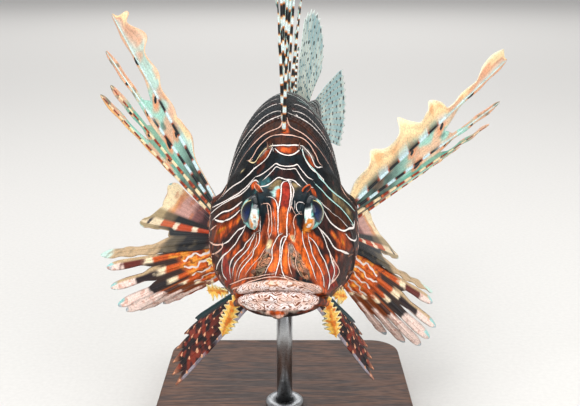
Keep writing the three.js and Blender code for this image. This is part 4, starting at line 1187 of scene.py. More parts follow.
@dataclass
class SkinPaint:
    """The skin's colours, worked out for each of its vertices."""

    canvas: Canvas
    y: Array
    turn: Array
    ring_start: float = 128.0
    ring_step: float = 8.6
    ring_half: float = 1.5
    ring_lean: float = 6.0
    ring_wander: float = 1.6
    # Lines: a share that all half widths are cut to, the half widths of what the photo doesn't show, and how far
    # from a line and how much out of the camera's sight a place may be.
    fine: float = 0.62
    trail_half: float = 0.45
    cheek_half: float = 0.5
    line_reach: float = 2.5
    unseen: float = 0.15
    # The turns at which a line's trail ends, and from one of its places to the next.
    trail_end: float = -1.15
    trail_step: float = 0.05
    # The distance between the places of a line and of a patch.
    line_step: float = 0.8
    patch_step: float = 2.0
    values: dict[str, Array] = field(default_factory=dict)

    def ground(self) -> Array:
        """The colours under all marks: near black on the back, maroon on the flanks and under the chin, with painted
        shade near black on the underside.
        """
        points, height = self.canvas.points, np.sin(self.turn)
        low, under = smooth_step(height, 0.5, -0.3), smooth_step(height, -0.55, -0.85)
        rusty = smooth_step(noise(points, 5.0, 2) + 0.4 * low, 0.45, 0.8)
        cheek = low * smooth_step(self.y, 100, 80) * (1 - under)
        return layered(
            flood(Ink.NIGHT.value, len(points)),
            ("130b0a", 0.5 + 0.5 * noise(points, 9.0, 1)),
            # Maroon flanks, painted shade darkening the underside, and rusty clouds.
            ("2e110c", 0.8 * low),
            ("140f10", 0.9 * under),
            ("6a2c18", 0.5 * rusty * (1 - under)),
            # Orange clouds on the cheeks.
            ("7a2f18", cheek * clouds(points, 3.6, 15, 0.0, 0.4)),
            ("d2692a", 0.9 * cheek * clouds(points, 2.6, 16, 0.38, 0.6)),
        )

    def rings(self) -> tuple[Array, Array]:
        """The bars round the body behind the arcs: the distance to their lines, and how deep inside a bar."""
        wave = noise(np.stack([self.y * 0.3, np.sin(self.turn) * 20, np.cos(self.turn) * 20], -1), 9.0, 3)
        lean = self.ring_lean * (1 - np.sin(self.turn))
        place = self.y - lean - self.ring_start + self.ring_wander * wave
        count = np.rint(place / self.ring_step)
        aside = np.abs(place - count * self.ring_step)
        half = self.ring_half * (1 + 0.35 * np.cos(self.turn * 2 + count * 2.1))
        hidden = (count < 0) | (self.y < 60)
        return np.where(hidden, FAR, aside - half), np.where(hidden, 0.0, smooth_step(aside, half, half - 0.8))

    def trail(self, place: Array, lean: float) -> Array:
        """Carries a line on down the flank from its outer end, to the belly.

        Args:
            place: The line's last place.
            lean: How far it runs back for each radian of turn, in millimetres.

        Returns:
            Places down the flank.
        """
        index = int(np.argmin(np.linalg.norm(self.canvas.points - place, axis=1)))
        y, turn = self.y[index], self.turn[index]
        left = math.cos(turn) > 0
        high = turn if left else math.pi - turn
        down = np.arange(high - self.trail_step, self.trail_end, -self.trail_step)
        if not len(down):
            return np.zeros((0, 3))
        bare = BODY.surface(y + lean * (high - down), down if left else math.pi - down)
        return FISH.world(FISH.bend(bare)) / MM

    def patches(self, base: Array) -> Array:
        """Lays the soft patches over the ground."""
        points = self.canvas.points
        wander = noise(points, 2.6, 5)
        for mark in PATCHES:
            line, half = self.canvas.trace(mark, self.patch_step)
            if not len(line):
                log.warning("a patch of %s lies off the skin", mark.ink.name)
                continue
            ratio = float(np.mean(half)) / mark.half
            width, soft = float(np.mean(half)), max(mark.soft, 0.3) * ratio
            chosen = near_line(points, line, width + 2 * soft)
            away, _ = to_line(points[chosen], line)
            away = away + wander[chosen] * 1.1 * soft
            share = 1 - smooth_step(away, width - soft, width + soft)
            base[chosen] = blend(base[chosen], mark.ink.value, share)
        return base

    def lay_line(self, sheet: dict[str, Array], line: Array, width: Array, ink: Ink, hidden: bool = False) -> None:
        """Lays one line into a set of lines.

        Args:
            sheet: For each place the distance from the set's nearest line, that distance signed by the line's side,
                and the line's half width and colour.
            line: The line's places.
            width: Its half width at each of them.
            ink: Its colour.
            hidden: Whether only what the photo doesn't show of the skin takes it.
        """
        points, normals = self.canvas.points, self.canvas.normals
        chosen = near_line(points, line, self.line_reach)
        reach, along = to_line(points[chosen], line)
        nearer = reach < sheet["away"][chosen]
        if hidden:
            nearer &= self.canvas.facing[chosen] < self.unseen
        index, reach, along = chosen[nearer], reach[nearer], along[nearer]
        ahead = np.gradient(line, axis=0)[np.clip(np.rint(along).astype(int), 0, len(line) - 1)]
        side = np.sum(np.cross(normals[index], ahead) * (points[index] - on_line(line, along)), 1)
        ends = np.clip(np.minimum(along, len(line) - 1 - along) / 4, 0, 1)
        sheet["away"][index], sheet["signed"][index] = reach, np.where(side < 0, -reach, reach)
        sheet["half"][index] = np.interp(along, np.arange(len(line)), width) * (0.5 + 0.5 * ends) * self.fine
        sheet["ink"][index] = rgb(ink.value)

    def lines(self) -> None:
        """Lays every line of the pattern, in two sets whose lines lie between each other's.

        A line's signed distance stays true between the vertices, so a line may be finer than the grid.
        """
        total = len(self.canvas.points)
        for which in range(2):
            sheet = {"away": np.full(total, FAR), "signed": np.full(total, FAR), "half": np.full(total, 0.3)}
            sheet["ink"] = flood(Ink.WHITE.value, total)
            for mark in LINES[which::2]:
                line, width = self.canvas.trace(mark, self.line_step)
                if len(line) < 2:
                    continue
                if mark.trail is not None:
                    more = self.trail(line[-1], mark.trail)
                    width = np.concatenate([width, np.full(len(more), self.trail_half)])
                    line = rounded(np.concatenate([line, more]), np.hanning(17)[1:-1])
                self.lay_line(sheet, line, width, mark.ink)
            for line in CheekLines().lines(which):
                self.lay_line(sheet, line, np.full(len(line), self.cheek_half), Ink.PINK, True)
            self.values |= {f"{name}_{which}": value for name, value in sheet.items()}

    def work_out(self) -> dict[str, Array]:
        """Works out every number and colour that the skin's finish reads, by name."""
        points = self.canvas.points
        base = self.ground()
        ring, inside = self.rings()
        base = blend(base, "6a2e18", inside * (0.6 + 0.3 * noise(points, 3.0, 6)))
        self.values |= {"ground": self.patches(base), "ring": ring}
        self.lines()
        self.values["pad"] = np.maximum(self.mask(PAD), 0.6 * self.mask(LIP))
        self.values["mottle"] = np.maximum(*map(self.mask, MOTTLES))
        return self.values

    def mask(self, mark: Mark) -> Array:
        """How much each place lies inside a mark, from 0 to 1."""
        points = self.canvas.points
        line, half = self.canvas.trace(mark, self.patch_step)
        away, _ = to_line(points, line)
        wide = float(np.mean(half))
        return 1 - smooth_step(away + 0.6 * noise(points, 2.0, 7), wide, wide + 1.0)


@dataclass(frozen=True)
class FishSkin(Finish):
    """Wet, scaled skin under a thin coat of slime: matt colour below, a soft broken gloss above."""

    fine: float = 1.1
    coarse: float = 3.4
    streak: float = 1.5
    scale: float = 1.0
    tile: float = 2.7
    worms: float = 15.0
    bend: float = 3.0
    ring_half: float = 0.3
    slack: float = 1.1
    roughness: float = 0.5
    coat: float = 0.05

    def ground(self, node: AddNode, here: Socket, grain: Socket, cloud: Socket) -> Socket:
        """The ground's colours, lighter and darker by a fine grain, slow clouds and streaks along the body."""
        long = node("Mapping", Vector=here, Scale=(1.0, 0.2, 0.2))
        streak = node("TexNoise", Vector=long, Scale=1 / (self.streak * MM), Detail=2.0, Distortion=0.6)
        light = node("MapRange", Value=grain, From_Min=0.3, From_Max=0.7, To_Min=0.72, To_Max=1.3)
        for value, low, high, dim, bright in ((cloud, 0.35, 0.65, 0.5, 1.2), (streak, 0.36, 0.56, 0.42, 1.1)):
            share = node("MapRange", Value=value, From_Min=low, From_Max=high, To_Min=dim, To_Max=bright)
            light = node("Math", operation="MULTIPLY", input0=light, input1=share)
        return node("HueSaturation", Value=light, Color=node("Attribute", "Color", attribute_name="ground"))

    def maze(self, node: AddNode, here: Socket, cloud: Socket, colour: Socket) -> Socket:
        """Lays the maze of the lips and the curls beside the snout over a colour, where their masks say."""
        wide = node("Mapping", Vector=here, Scale=(0.62, 1.0, 1.25))
        bent = node("TexNoise", "Color", Vector=here, Scale=1 / (self.bend * MM), Detail=1.0)
        wide = node("VectorMath", operation="MULTIPLY_ADD", input0=bent, input1=(self.bend * MM,) * 3, input2=wide)
        hills = node("TexNoise", Vector=wide, Scale=1 / (self.tile * MM), Detail=0.0)
        waves = node("Math", operation="MULTIPLY", input0=hills, input1=self.worms)
        waves = node("Math", operation="ABSOLUTE", input0=node("Math", operation="SINE", input0=waves))
        gap = node("MapRange", Value=waves, From_Min=0.26, From_Max=0.62)
        patchy = node("MapRange", Value=cloud, From_Min=0.4, From_Max=0.6)
        looks = (("mottle", "746450", "d88e68", "2c1a14"), ("pad", "fdf1ee", "f3cfc0", "7e4424"))
        for mask, *hexes in looks:
            some, others, groove = map(linear, hexes)
            tiles = node("Mix", 2, data_type="RGBA", Factor=patchy, A=some, B=others)
            worms = node("Mix", 2, data_type="RGBA", Factor=gap, A=groove, B=tiles)
            share = node("Attribute", "Fac", attribute_name=mask)
            colour = node("Mix", 2, data_type="RGBA", Factor=share, A=colour, B=worms)
        return colour

    def markings(self, node: AddNode, grain: Socket, colour: Socket) -> Socket:
        """Lays the rings and both sets of lines over a colour, with a dark seam beside each."""
        wander = node("MapRange", Value=grain, From_Min=0.3, From_Max=0.7, To_Min=-0.1, To_Max=0.1)
        ring = node("Math", operation="ABSOLUTE", input0=node("Attribute", "Fac", attribute_name="ring"))
        edges = [node("Math", operation="SUBTRACT", input0=ring, input1=self.ring_half)]
        inks = [linear("c9d4cf")]
        for which in range(2):
            numbers = (f"{name}_{which}" for name in ("signed", "away", "half"))
            signed, away, half = (node("Attribute", "Fac", attribute_name=name) for name in numbers)
            across = node("Math", operation="ABSOLUTE", input0=signed)
            far = node("Math", operation="SUBTRACT", input0=away, input1=self.slack)
            beside = node("Math", operation="MAXIMUM", input0=across, input1=far)
            edges.append(node("Math", operation="SUBTRACT", input0=beside, input1=half))
            inks.append(node("Attribute", "Color", attribute_name=f"ink_{which}"))
        nearest = edges[0]
        for edge in edges[1:]:
            nearest = node("Math", operation="MINIMUM", input0=nearest, input1=edge)
        nearest = node("Math", operation="ADD", input0=nearest, input1=wander)
        shade = node("MapRange", Value=nearest, From_Min=0.05, From_Max=0.75, To_Min=0.34, To_Max=1.0)
        colour = node("HueSaturation", Value=shade, Color=colour)
        for edge, ink in zip(edges, inks):
            near = node("Math", operation="ADD", input0=edge, input1=wander)
            mask = node("MapRange", interpolation_type="SMOOTHSTEP", Value=near, From_Min=0.1, From_Max=-0.08)
            colour = node("Mix", 2, data_type="RGBA", Factor=mask, A=colour, B=ink)
        return colour

    def shader(self, node: AddNode) -> Socket:
        """Adds the finish's nodes and gives the shader's output."""
        here = node("TexCoord", "Object")
        grain = node("TexNoise", Vector=here, Scale=1 / (self.fine * MM), Detail=3.0, Roughness=0.6)
        cloud = node("TexNoise", Vector=here, Scale=1 / (self.coarse * MM), Detail=2.0)
        colour = self.maze(node, here, cloud, self.ground(node, here, grain, cloud))
        scales = node("TexVoronoi", "Distance", Vector=here, Scale=1 / (self.scale * MM), Randomness=0.6)
        raised = node("Math", operation="MULTIPLY_ADD", input0=grain, input1=0.5, input2=scales)
        rough = node(
            "MapRange", Value=grain, From_Min=0.3, From_Max=0.7, To_Min=self.roughness - 0.08,
            To_Max=self.roughness + 0.12,
        )
        return node(
            "BsdfPrincipled", Base_Color=self.markings(node, grain, colour), Roughness=rough,
            Normal=node("Bump", Height=raised, Distance=0.00012, Strength=0.6), Coat_Weight=self.coat,
            Coat_Roughness=0.2, Specular_IOR_Level=0.14,
        )


@dataclass
class Scales:
    """Small overlapping scales over the trunk and the tail stalk, in staggered rows, with the skin's own markings."""

    skin: "Skin"
    points: Array
    normals: Array
    values: dict[str, Array]
    first: float = 88.0
    last: float = 238.0
    step: float = 1.9
    width: float = 2.15
    radius: float = 1.5
    lift: float = 0.2
    sunk: float = 0.25
    knots: tuple[float, ...] = (-1.0, -0.88, 0.0, 0.88, 1.0)
    patch: float = 0.0015

    def sample(self, values: Array, row: Array, column: Array) -> Array:
        """Values of the skin's grid between its vertices.

        Args:
            values: One value or vector for each vertex.
            row: Places along the grid, counted in rows.
            column: Places round it, counted in columns.

        Returns:
            The values there.
        """
        rows, columns = self.skin.rows, self.skin.columns
        sheet = values.reshape(rows + 1, columns + 1, -1)
        r = np.clip(row, 0, rows - 1e-6)
        low, left = np.floor(r).astype(int), np.floor(column).astype(int)
        v, u = (r - low)[:, None], (column - left)[:, None]
        a, b = left % columns, (left + 1) % columns
        near = sheet[low, a] * (1 - u) + sheet[low, b] * u
        far = sheet[low + 1, a] * (1 - u) + sheet[low + 1, b] * u
        mixed = near * (1 - v) + far * v
        return mixed if values.ndim > 1 else mixed[:, 0]

    def roots(self) -> tuple[Array, Array]:
        """The scales' middles, as rows and columns of the skin's grid."""
        stations = self.skin.stations()
        columns = np.arange(self.skin.columns + 1, dtype=float)
        rows, places_round = [], []
        for count, y in enumerate(np.arange(self.first, self.last, self.step)):
            row = float(np.interp(y, stations, np.arange(len(stations))))
            ring = self.sample(self.points, np.full(len(columns), row), columns) / MM
            girth = np.concatenate([[0], np.cumsum(np.linalg.norm(np.diff(ring, axis=0), axis=1))])
            number = int(girth[-1] / self.width)
            share = (np.arange(number) + 0.5 * (count % 2)) / number
            places_round.append(np.interp(share * girth[-1], girth, columns))
            rows.append(np.full(number, row))
        return np.concatenate(rows), np.concatenate(places_round)

    def copies(self, number: int) -> bpy.types.Mesh:
        """One flat scale, repeated by an array into one mesh."""
        mesh = flat_grid("one scale", len(self.knots) - 1, len(self.knots) - 1)
        holder = bpy.data.objects.new("scale row", mesh)
        bpy.context.scene.collection.objects.link(holder)
        array = holder.modifiers.new("copies", "ARRAY")
        array.count = number
        bpy.context.view_layer.update()
        whole = bpy.data.meshes.new_from_object(holder.evaluated_get(bpy.context.evaluated_depsgraph_get()))
        bpy.data.objects.remove(holder)
        bpy.data.meshes.remove(mesh)
        whole.name = "scales"
        return whole

    def build(self, finish: Finish) -> None:
        """Makes the scales and lays them on the skin."""
        rows, columns = self.roots()
        number, side = len(rows), len(self.knots)
        mesh = self.copies(number)
        index = np.arange(side * side)
        knots = np.array(self.knots)
        a, b = knots[index % side], knots[index // side]
        across, along = a * np.sqrt(1 - b * b / 2), b * np.sqrt(1 - a * a / 2)
        rim = np.maximum(np.abs(a), np.abs(b)) > 0.99
        height = np.where(rim, -self.sunk, self.lift * (0.55 + 0.45 * along) + 0.12 * (1 - across**2))
        ahead = self.sample(self.points, rows + 0.5, columns) - self.sample(self.points, rows - 0.5, columns)
        aside = self.sample(self.points, rows, columns + 0.5) - self.sample(self.points, rows, columns - 0.5)
        size = self.radius * (1 + 0.12 * np.sin(rows * 12.9 + columns * 78.2))
        down = size / (np.linalg.norm(ahead, axis=1) / MM)
        over = size / (np.linalg.norm(aside, axis=1) / MM)
        row = (rows[:, None] + down[:, None] * along).ravel()
        column = (columns[:, None] + over[:, None] * across * 0.92).ravel()
        normal = unit(self.sample(self.normals, row, column))
        lifted = np.tile(height, number)[:, None] * MM
        move(mesh, self.sample(self.points, row, column) + normal * lifted)
        for name, values in self.values.items():
            put(mesh, name, self.sample(values, row, column))
        corner = np.zeros(len(mesh.loops), np.int32)
        mesh.loops.foreach_get("vertex_index", corner)
        root = np.stack([columns / self.skin.columns, rows / self.skin.rows], -1)[corner // (side * side)]
        leaf = np.stack([across, along], -1)[corner % (side * side)]
        place = np.clip(root + leaf * self.patch, 0, 1)
        mesh.uv_layers[0].data.foreach_set("uv", place.astype(np.float32).ravel())
        dress(add("scales", mesh), finish, "skin_body")


@dataclass(frozen=True)
class Skin:
    """The one skin over head, trunk and tail stalk, with lids, brows, lips, shoulder pads and mouth raised in it."""

    columns: int = 300
    rows: int = 330
    head_share: float = 0.56
    head_end: float = 90.0
    groove: float = 1.7
    groove_half: float = 0.6
    socket: Profile = Profile(
        (0, 7.2), (58, 7.3), (65, 8.1), (69, 9.2), (76, 9.7), (84, 9.4), (95, 8.8), (110, 8.0), (130, 6.6), (180, 6),
    )
    socket_soft: float = 0.9
    # The brow's middle line, its radius at the ends and what it gains half way.
    brow: tuple[Triple, ...] = (
        (6, 24, 19.5), (7.2, 31, 28.2), (7.6, 38, 31.2), (8.4, 46, 32), (9, 55, 34)
    )
    brow_radius: float = 1.8
    brow_gain: float = 1.8
    chin: Triple = (-0.5, 3.6, -5.6)
    chin_radius: float = 3.0
    blurs: int = 5
    # Each bony ridge's radius, and its distances behind the snout and heights.
    ridges: tuple[tuple[float, tuple[Pair, ...]], ...] = (
        (1.5, ((26, 6), (36, 3), (46, 1), (56, -3))),
        (1.2, ((44, -30), (52, -20), (57, -6), (58, 8), (54, 18))),
        (1.6, ((78, -37), (87, -24), (90, -8), (88, 8), (80, 22), (70, 30))),
        (1.1, ((12, 2), (20, -4), (28, -8), (36, -12))),
    )

    def stations(self) -> Array:
        """Distances behind the snout of the grid's rows, close on the head and wider behind it."""
        y = BODY.snout + (BODY.length - BODY.snout) * np.linspace(0, 1, 4000) ** 2
        reach = np.stack([y, BODY.half_width(y) * 0.7 + BODY.back(y) * 0.5], -1)
        steps = np.linalg.norm(np.diff(reach, axis=0), axis=1)
        on_head = y[1:] < self.head_end
        head, rest = steps[on_head].sum(), steps[~on_head].sum()
        weight = np.where(on_head, self.head_share / head, (1 - self.head_share) / rest)
        along = np.concatenate([[0], np.cumsum(steps * weight)])
        return np.interp(np.linspace(0, 1, self.rows + 1), along / along[-1], y)

    def grid(self) -> tuple[bpy.types.Mesh, Array, Array]:
        """The flat grid, and the distance and turn that each vertex stands for."""
        mesh = flat_grid("skin", self.columns, self.rows)
        share = (places(mesh)[:, :2] + 1) / 2
        row = np.rint(share[:, 1] * self.rows).astype(int)
        column = np.rint(share[:, 0] * self.columns).astype(int)
        turn = (column % self.columns) / self.columns * 2 * math.pi - math.pi / 2
        return mesh, self.stations()[row], turn

    def normals(self, points: Array) -> Array:
        """Directions out of the surface, from the grid's own rows and columns."""
        sheet = points.reshape(self.rows + 1, self.columns + 1, 3)
        around = np.roll(sheet[:, :-1], -1, 1) - np.roll(sheet[:, :-1], 1, 1)
        around = np.concatenate([around, around[:, :1]], 1)
        along = np.gradient(sheet, axis=0)
        normal = unit(np.cross(along, around)).reshape(-1, 3)
        normal[: self.columns + 1] = [0, -1, 0]
        return normal

    def lids(self, points: Array) -> Array:
        """Pushes the skin out round each eyeball, into a socket with a rounded lid."""
        for side, _ in SIDES:
            axis, centre = EYE.axis(side), EYE.centre(side)
            offset = points - centre
            reach = np.linalg.norm(offset, axis=1)
            ahead = offset / np.maximum(reach, 1e-6)[:, None]
            goal = self.socket(np.degrees(np.arccos(np.clip(ahead @ axis, -1, 1))))
            rise = goal - reach
            lifted = (rise + np.sqrt(rise * rise + self.socket_soft**2)) / 2 * smooth_step(reach, 14.0, 10.5)
            points = points + lifted[:, None] * ahead
        return points

    def blur(self, field: Array, times: int) -> Array:
        """Smooths a number over the grid's neighbours."""
        sheet = field.reshape(self.rows + 1, self.columns + 1).copy()
        for _ in range(times):
            ring = sheet[:, :-1]
            ring = (np.roll(ring, 1, 1) + 2 * ring + np.roll(ring, -1, 1)) / 4
            padded = np.pad(ring, ((1, 1), (0, 0)), mode="edge")
            ring = (padded[:-2] + 2 * padded[1:-1] + padded[2:]) / 4
            sheet = np.concatenate([ring, ring[:, :1]], 1)
        return sheet.reshape(-1)

    def bars(self) -> Iterator[Bar]:
        """The brows, the shoulder pads and the bony ridges, which are blurred a little."""
        at, share, drop = (np.linspace(*ends) for ends in ((0, 1, len(self.brow)), (0, 1, 60), (-0.05, 1.05, 60)))
        brow = np.stack([Profile(*zip(at, places_along))(share) for places_along in zip(*self.brow)], -1)
        for side, _ in SIDES:
            yield brow * [side, 1, 1], self.brow_radius + self.brow_gain * np.sin(math.pi * share), 1.4
            yield SHOULDER.at(side, drop), SHOULDER.pad, 2.0
            for radius, ridge in self.ridges:
                line = through(np.array([(BODY.flank(y, z), y, z) for y, z in ridge]), 2.0)
                yield line * [side, 1, 1], radius, 1.0

    def crisp_bars(self) -> Iterator[Bar]:
        """The lips and the knob of the chin."""
        for kind in (MOUTH.upper, MOUTH.lower):
            yield *MOUTH.lip(kind), 0.5
        yield np.array([self.chin] * 2), self.chin_radius, 0.8

    def shape(self, y: Array, turn: Array) -> Array:
        """The skin's places in the fish's frame.

        Args:
            y: Distances behind the snout.
            turn: Turns round the body.

        Returns:
            An (n, 3) array.
        """
        points = BODY.surface(y, turn)
        points[: self.columns + 1] = [0.0, BODY.snout, 0.25]
        points[-self.columns - 1 :] = [0.0, BODY.length, 5.2]
        normal = self.normals(points)
        rise = np.zeros(len(points))
        for line, radius, soft in self.bars():
            rise = np.maximum(rise, swell(points, normal, line, radius, soft))
        rise = self.blur(rise, self.blurs)
        for line, radius, soft in self.crisp_bars():
            rise = np.maximum(rise, swell(points, normal, line, radius, soft))
        depth = np.abs(points[:, 2] - MOUTH.plane(points[:, 1]))
        mouth = np.exp(-((depth / self.groove_half) ** 2)) * smooth_step(points[:, 1], MOUTH.corner + 3, MOUTH.corner)
        mouth *= points[:, 1] > 0.2
        rise = rise * (1 - mouth) - self.groove * mouth
        return self.lids(points + normal * rise[:, None])

    def build(self) -> None:
        """Makes the skin and dresses it."""
        mesh, y, turn = self.grid()
        points = FISH.world(FISH.bend(self.shape(y, turn)))
        move(mesh, points)
        normals = self.normals(points)
        values = SkinPaint(Canvas(points / MM, normals, Studio()), y, turn).work_out()
        for name, value in values.items():
            put(mesh, name, value)
        self.close(mesh)
        finish = FishSkin("wet fish skin")
        dress(
            add("skin", mesh), finish, "skin_body", "head", "lower_jaw", "gill_cover_left", "gill_cover_right",
            "trunk", "rear_body", "tail_stalk",
        )
        Scales(self, points, normals, values).build(finish)

    @staticmethod
    def close(mesh: bpy.types.Mesh) -> None:
        """Closes the seam along the belly and both ends."""
        whole = bmesh.new()
        whole.from_mesh(mesh)
        bmesh.ops.remove_doubles(whole, verts=whole.verts, dist=1e-7)
        bmesh.ops.recalc_face_normals(whole, faces=whole.faces)
        whole.to_mesh(mesh)
        whole.free()


@dataclass(frozen=True)
class Spot:
    """Places on a fin: their shares along the rays, their places across them, and where they are in millimetres."""

    along: Array
    fan: Array
    bar: Array
    points: Array

    def pick(self, here: Array) -> "Spot":
        """Some of the places, by a mask or their indices."""
        return Spot(self.along[here], self.fan[here], self.bar[here], self.points[here])

    @property
    def ray(self) -> Array:
        """The nearest ray."""
        return np.rint(self.fan)

    @property
    def side(self) -> Array:
        """How far off the ray a place lies: 0 on it, half way to the next ray at 0.5."""
        return self.fan - np.rint(self.fan)


def banded(share: Array, stops: Sequence[tuple[float, str]], soft: float = 0.01) -> Array:
    """Bands of colour, each from its own share to the next one's.

    Args:
        share: The places' shares along a ray.
        stops: Pairs of share and colour, in order.
        soft: Half the width of the blend between two bands.

    Returns:
        A colour for each place.
    """
    colours = flood(stops[0][1], len(share))
    for start, colour in stops[1:]:
        colours = blend(colours, colour, smooth_step(share, start - soft, start + soft))
    return colours


def dots(spot: Spot, reach: float, gap: float, step: float, radius: float, first: float = 0.0) -> Array:
    """Distances in millimetres from the edges of round dots along the rays, negative inside a dot.

    Args:
        spot: The places.
        reach: The rays' length.
        gap: The distance between two rays.
        step: The distance between two dots of a ray.
        radius: A dot's radius.
        first: The share of a ray's length before its first dot.

    Returns:
        A distance for each place.
    """
    shift = step * (0.5 * (spot.ray % 2) + 0.3 * np.sin(spot.ray * 2.3))
    place = spot.along * reach + shift
    row = np.rint(place / step)
    size = radius * (0.8 + 0.35 * np.sin(row * 1.9 + spot.ray * 3.1))
    away = np.hypot(place - row * step, spot.side * gap) - size
    return np.where(spot.along < first, away + radius, away)


class FinPaint:
    """How a fin is painted."""

    dot_ink = Ink.WHITE

    def ground(self, spot: Spot) -> Array:
        """The colour of each place, under the dots."""
        raise NotImplementedError

    def marks(self, spot: Spot) -> Array:
        """The distance in millimetres from the nearest mark's edge, negative inside a mark."""
        return np.full(len(spot.along), FAR)

    def apply(self, mesh: bpy.types.Mesh) -> None:
        """Stores the colours on a fin's mesh, from the numbers that its vertices carry."""
        values = {}
        for name in SPOT_NUMBERS:
            flat = np.zeros(len(mesh.vertices), np.float32)
            mesh.attributes[name].data.foreach_get("value", flat)
            values[name] = flat.astype(float)
        spot = Spot(points=places(mesh) / MM, **values)
        put(mesh, "ground", self.ground(spot))
        put(mesh, "mark", self.marks(spot))
        put(mesh, "mark_ink", flood(self.dot_ink.value, len(spot.along)))


class FingerPaint(FinPaint):
    """The long lower fingers: an orange palm with white squiggles, then cream, red, dark and pink bands."""

    # Each finger's dark band, from the uppermost finger down.
    darks = ("6a2a22", "2c1e22", "2a2426", "54342c", "7e4a34", "96644e")

    @staticmethod
    def finger(number: int, dark: str, spot: Spot, s: Array, palm: Array) -> Array:
        """One finger's colours.

        Args:
            number: The finger, counted from the uppermost.
            dark: The colour of its dark band.
            spot: The finger's places.
            s: Their shares along it, made a little uneven.
            palm: The palm's colours there.

        Returns:
            A colour for each place.
        """
        end = 0.86 - 0.08 * number
        short = min(1.0, end / 0.8)
        bands = ((-0.46, "fbe6be"), (-0.43, "cc5820"), (-0.27, "fde8c4"), (-0.19, dark), (0, "fde2d6"))
        stops = [(end + at * short, colour) for at, colour in bands]
        aside = np.abs(spot.side)
        between = smooth_step(aside, 0.2, 0.32) * smooth_step(s, 0.7, 0.62) * smooth_step(s, 0.32, 0.42)
        return layered(
            banded(s, [(0.0, "c8541a"), *stops, (0.975, "b9c6cc")], 0.016),
            # Spots on the pink end, and the palm before the bands.
            ("d0937a", 0.6 * clouds(spot.points, 2.0, 14, 0.35, 0.6) * smooth_step(s, end, end + 0.02)),
            (palm, smooth_step(s, end - 0.34 * short, end - 0.44 * short)),
            # The membrane that joins two fingers, and a finger's thin dark edges: painted shade where it meets the
            # next finger.
            ("33211a" if number < 3 else "a5501f", between),
            ("3a2320", 0.5 * smooth_step(aside, 0.33, 0.48) * smooth_step(s, 0.3, 0.5)),
        )

    def ground(self, spot: Spot) -> Array:
        """The colour of each place."""
        points, ray, upper = spot.points, spot.ray, -spot.side
        s = spot.along + 0.028 * noise(points, 2.5, 11)
        palm = layered(
            flood("d8611c", len(s)),
            ("fba43c", clouds(points, 2.4, 12, 0.0, 0.4)),
            ("7a2c12", 0.85 * clouds(points, 1.8, 13, 0.2, 0.5)),
        )
        colours = palm.copy()
        for number, dark in enumerate(self.darks):
            here = ray == number
            colours[here] = self.finger(number, dark, spot.pick(here), s[here], palm[here])
        return layered(
            colours,
            # The upper fingers' beige upper edges and pale blue tips.
            ("c9ab84", (ray < 2) * smooth_step(upper, 0.12, 0.26) * smooth_step(s, 0.5, 0.6)),
            ("a6dcd8", (ray < 3) * smooth_step(upper, 0.05, 0.2) * smooth_step(s, 0.93, 0.95)),
        )

    def marks(self, spot: Spot) -> Array:
        """White squiggles over the palm, between the rays."""
        s = spot.along
        gap = np.clip(np.floor(spot.fan), 0, 4)
        centre = gap + 0.5 + 0.2 * np.sin(s * 42 + 2.2 * gap) + 0.1 * np.sin(s * 95 + gap)
        away = np.abs(spot.fan - centre) * (3.2 + 14 * s) - 0.85
        ends = np.maximum(0.05 + 0.015 * gap - s, s - 0.36 - 0.05 * np.sin(3 * gap)) * 60
        return np.maximum(away, ends)


class LobePaint(FinPaint):
    """The middle rays: a broad pink and cream lobe, a banded ray and a beige sheet with a pale blue tip."""

    def ground(self, spot: Spot) -> Array:
        """The colour of each place."""
        points, side = spot.points, spot.side
        s = spot.along + 0.03 * noise(points, 5.0, 21)
        bands = ((0, "33161c"), (0.3, "7a4a48"), (0.42, "c9988c"), (0.66, "dc9a64"), (0.74, "f4deb4"))
        lobe = layered(
            banded(s, bands, 0.04),
            ("c07048", 0.6 * clouds(points, 4.0, 22, 0.3, 0.6)),
            ("8fc0c0", smooth_step(s, 0.97, 0.985) * smooth_step(-side, 0.0, 0.2)),
        )
        bands = ((0, "b8421e"), (0.26, "fbe4c8"), (0.32, "c44c22"), (0.48, "fbe4c8"), (0.56, "cc6238"))
        ray = banded(s, (*bands, (0.72, "f0dab6"), (0.86, "3c3436"), (0.92, "e6d0ac")))
        web = banded(s, ((0, "1c1012"), (0.35, "141a1c"), (0.6, "6a5a44"), (0.75, "a8926c")), 0.05)
        ray = web + (ray - web) * smooth_step(np.abs(side), 0.2, 0.12)[:, None]
        bands = ((0, "4a1c14"), (0.12, "1c1c1e"), (0.36, "5a5040"), (0.48, "c6a882"), (0.9, "d0ece0"))
        sheet = blend(banded(s, bands, 0.03), "7a6c54", 0.5 * clouds(points, 3.0, 23, 0.1, 0.6))
        picked = spot.ray[:, None]
        return np.where(picked < 1, lobe, np.where(picked < 2, ray, sheet))


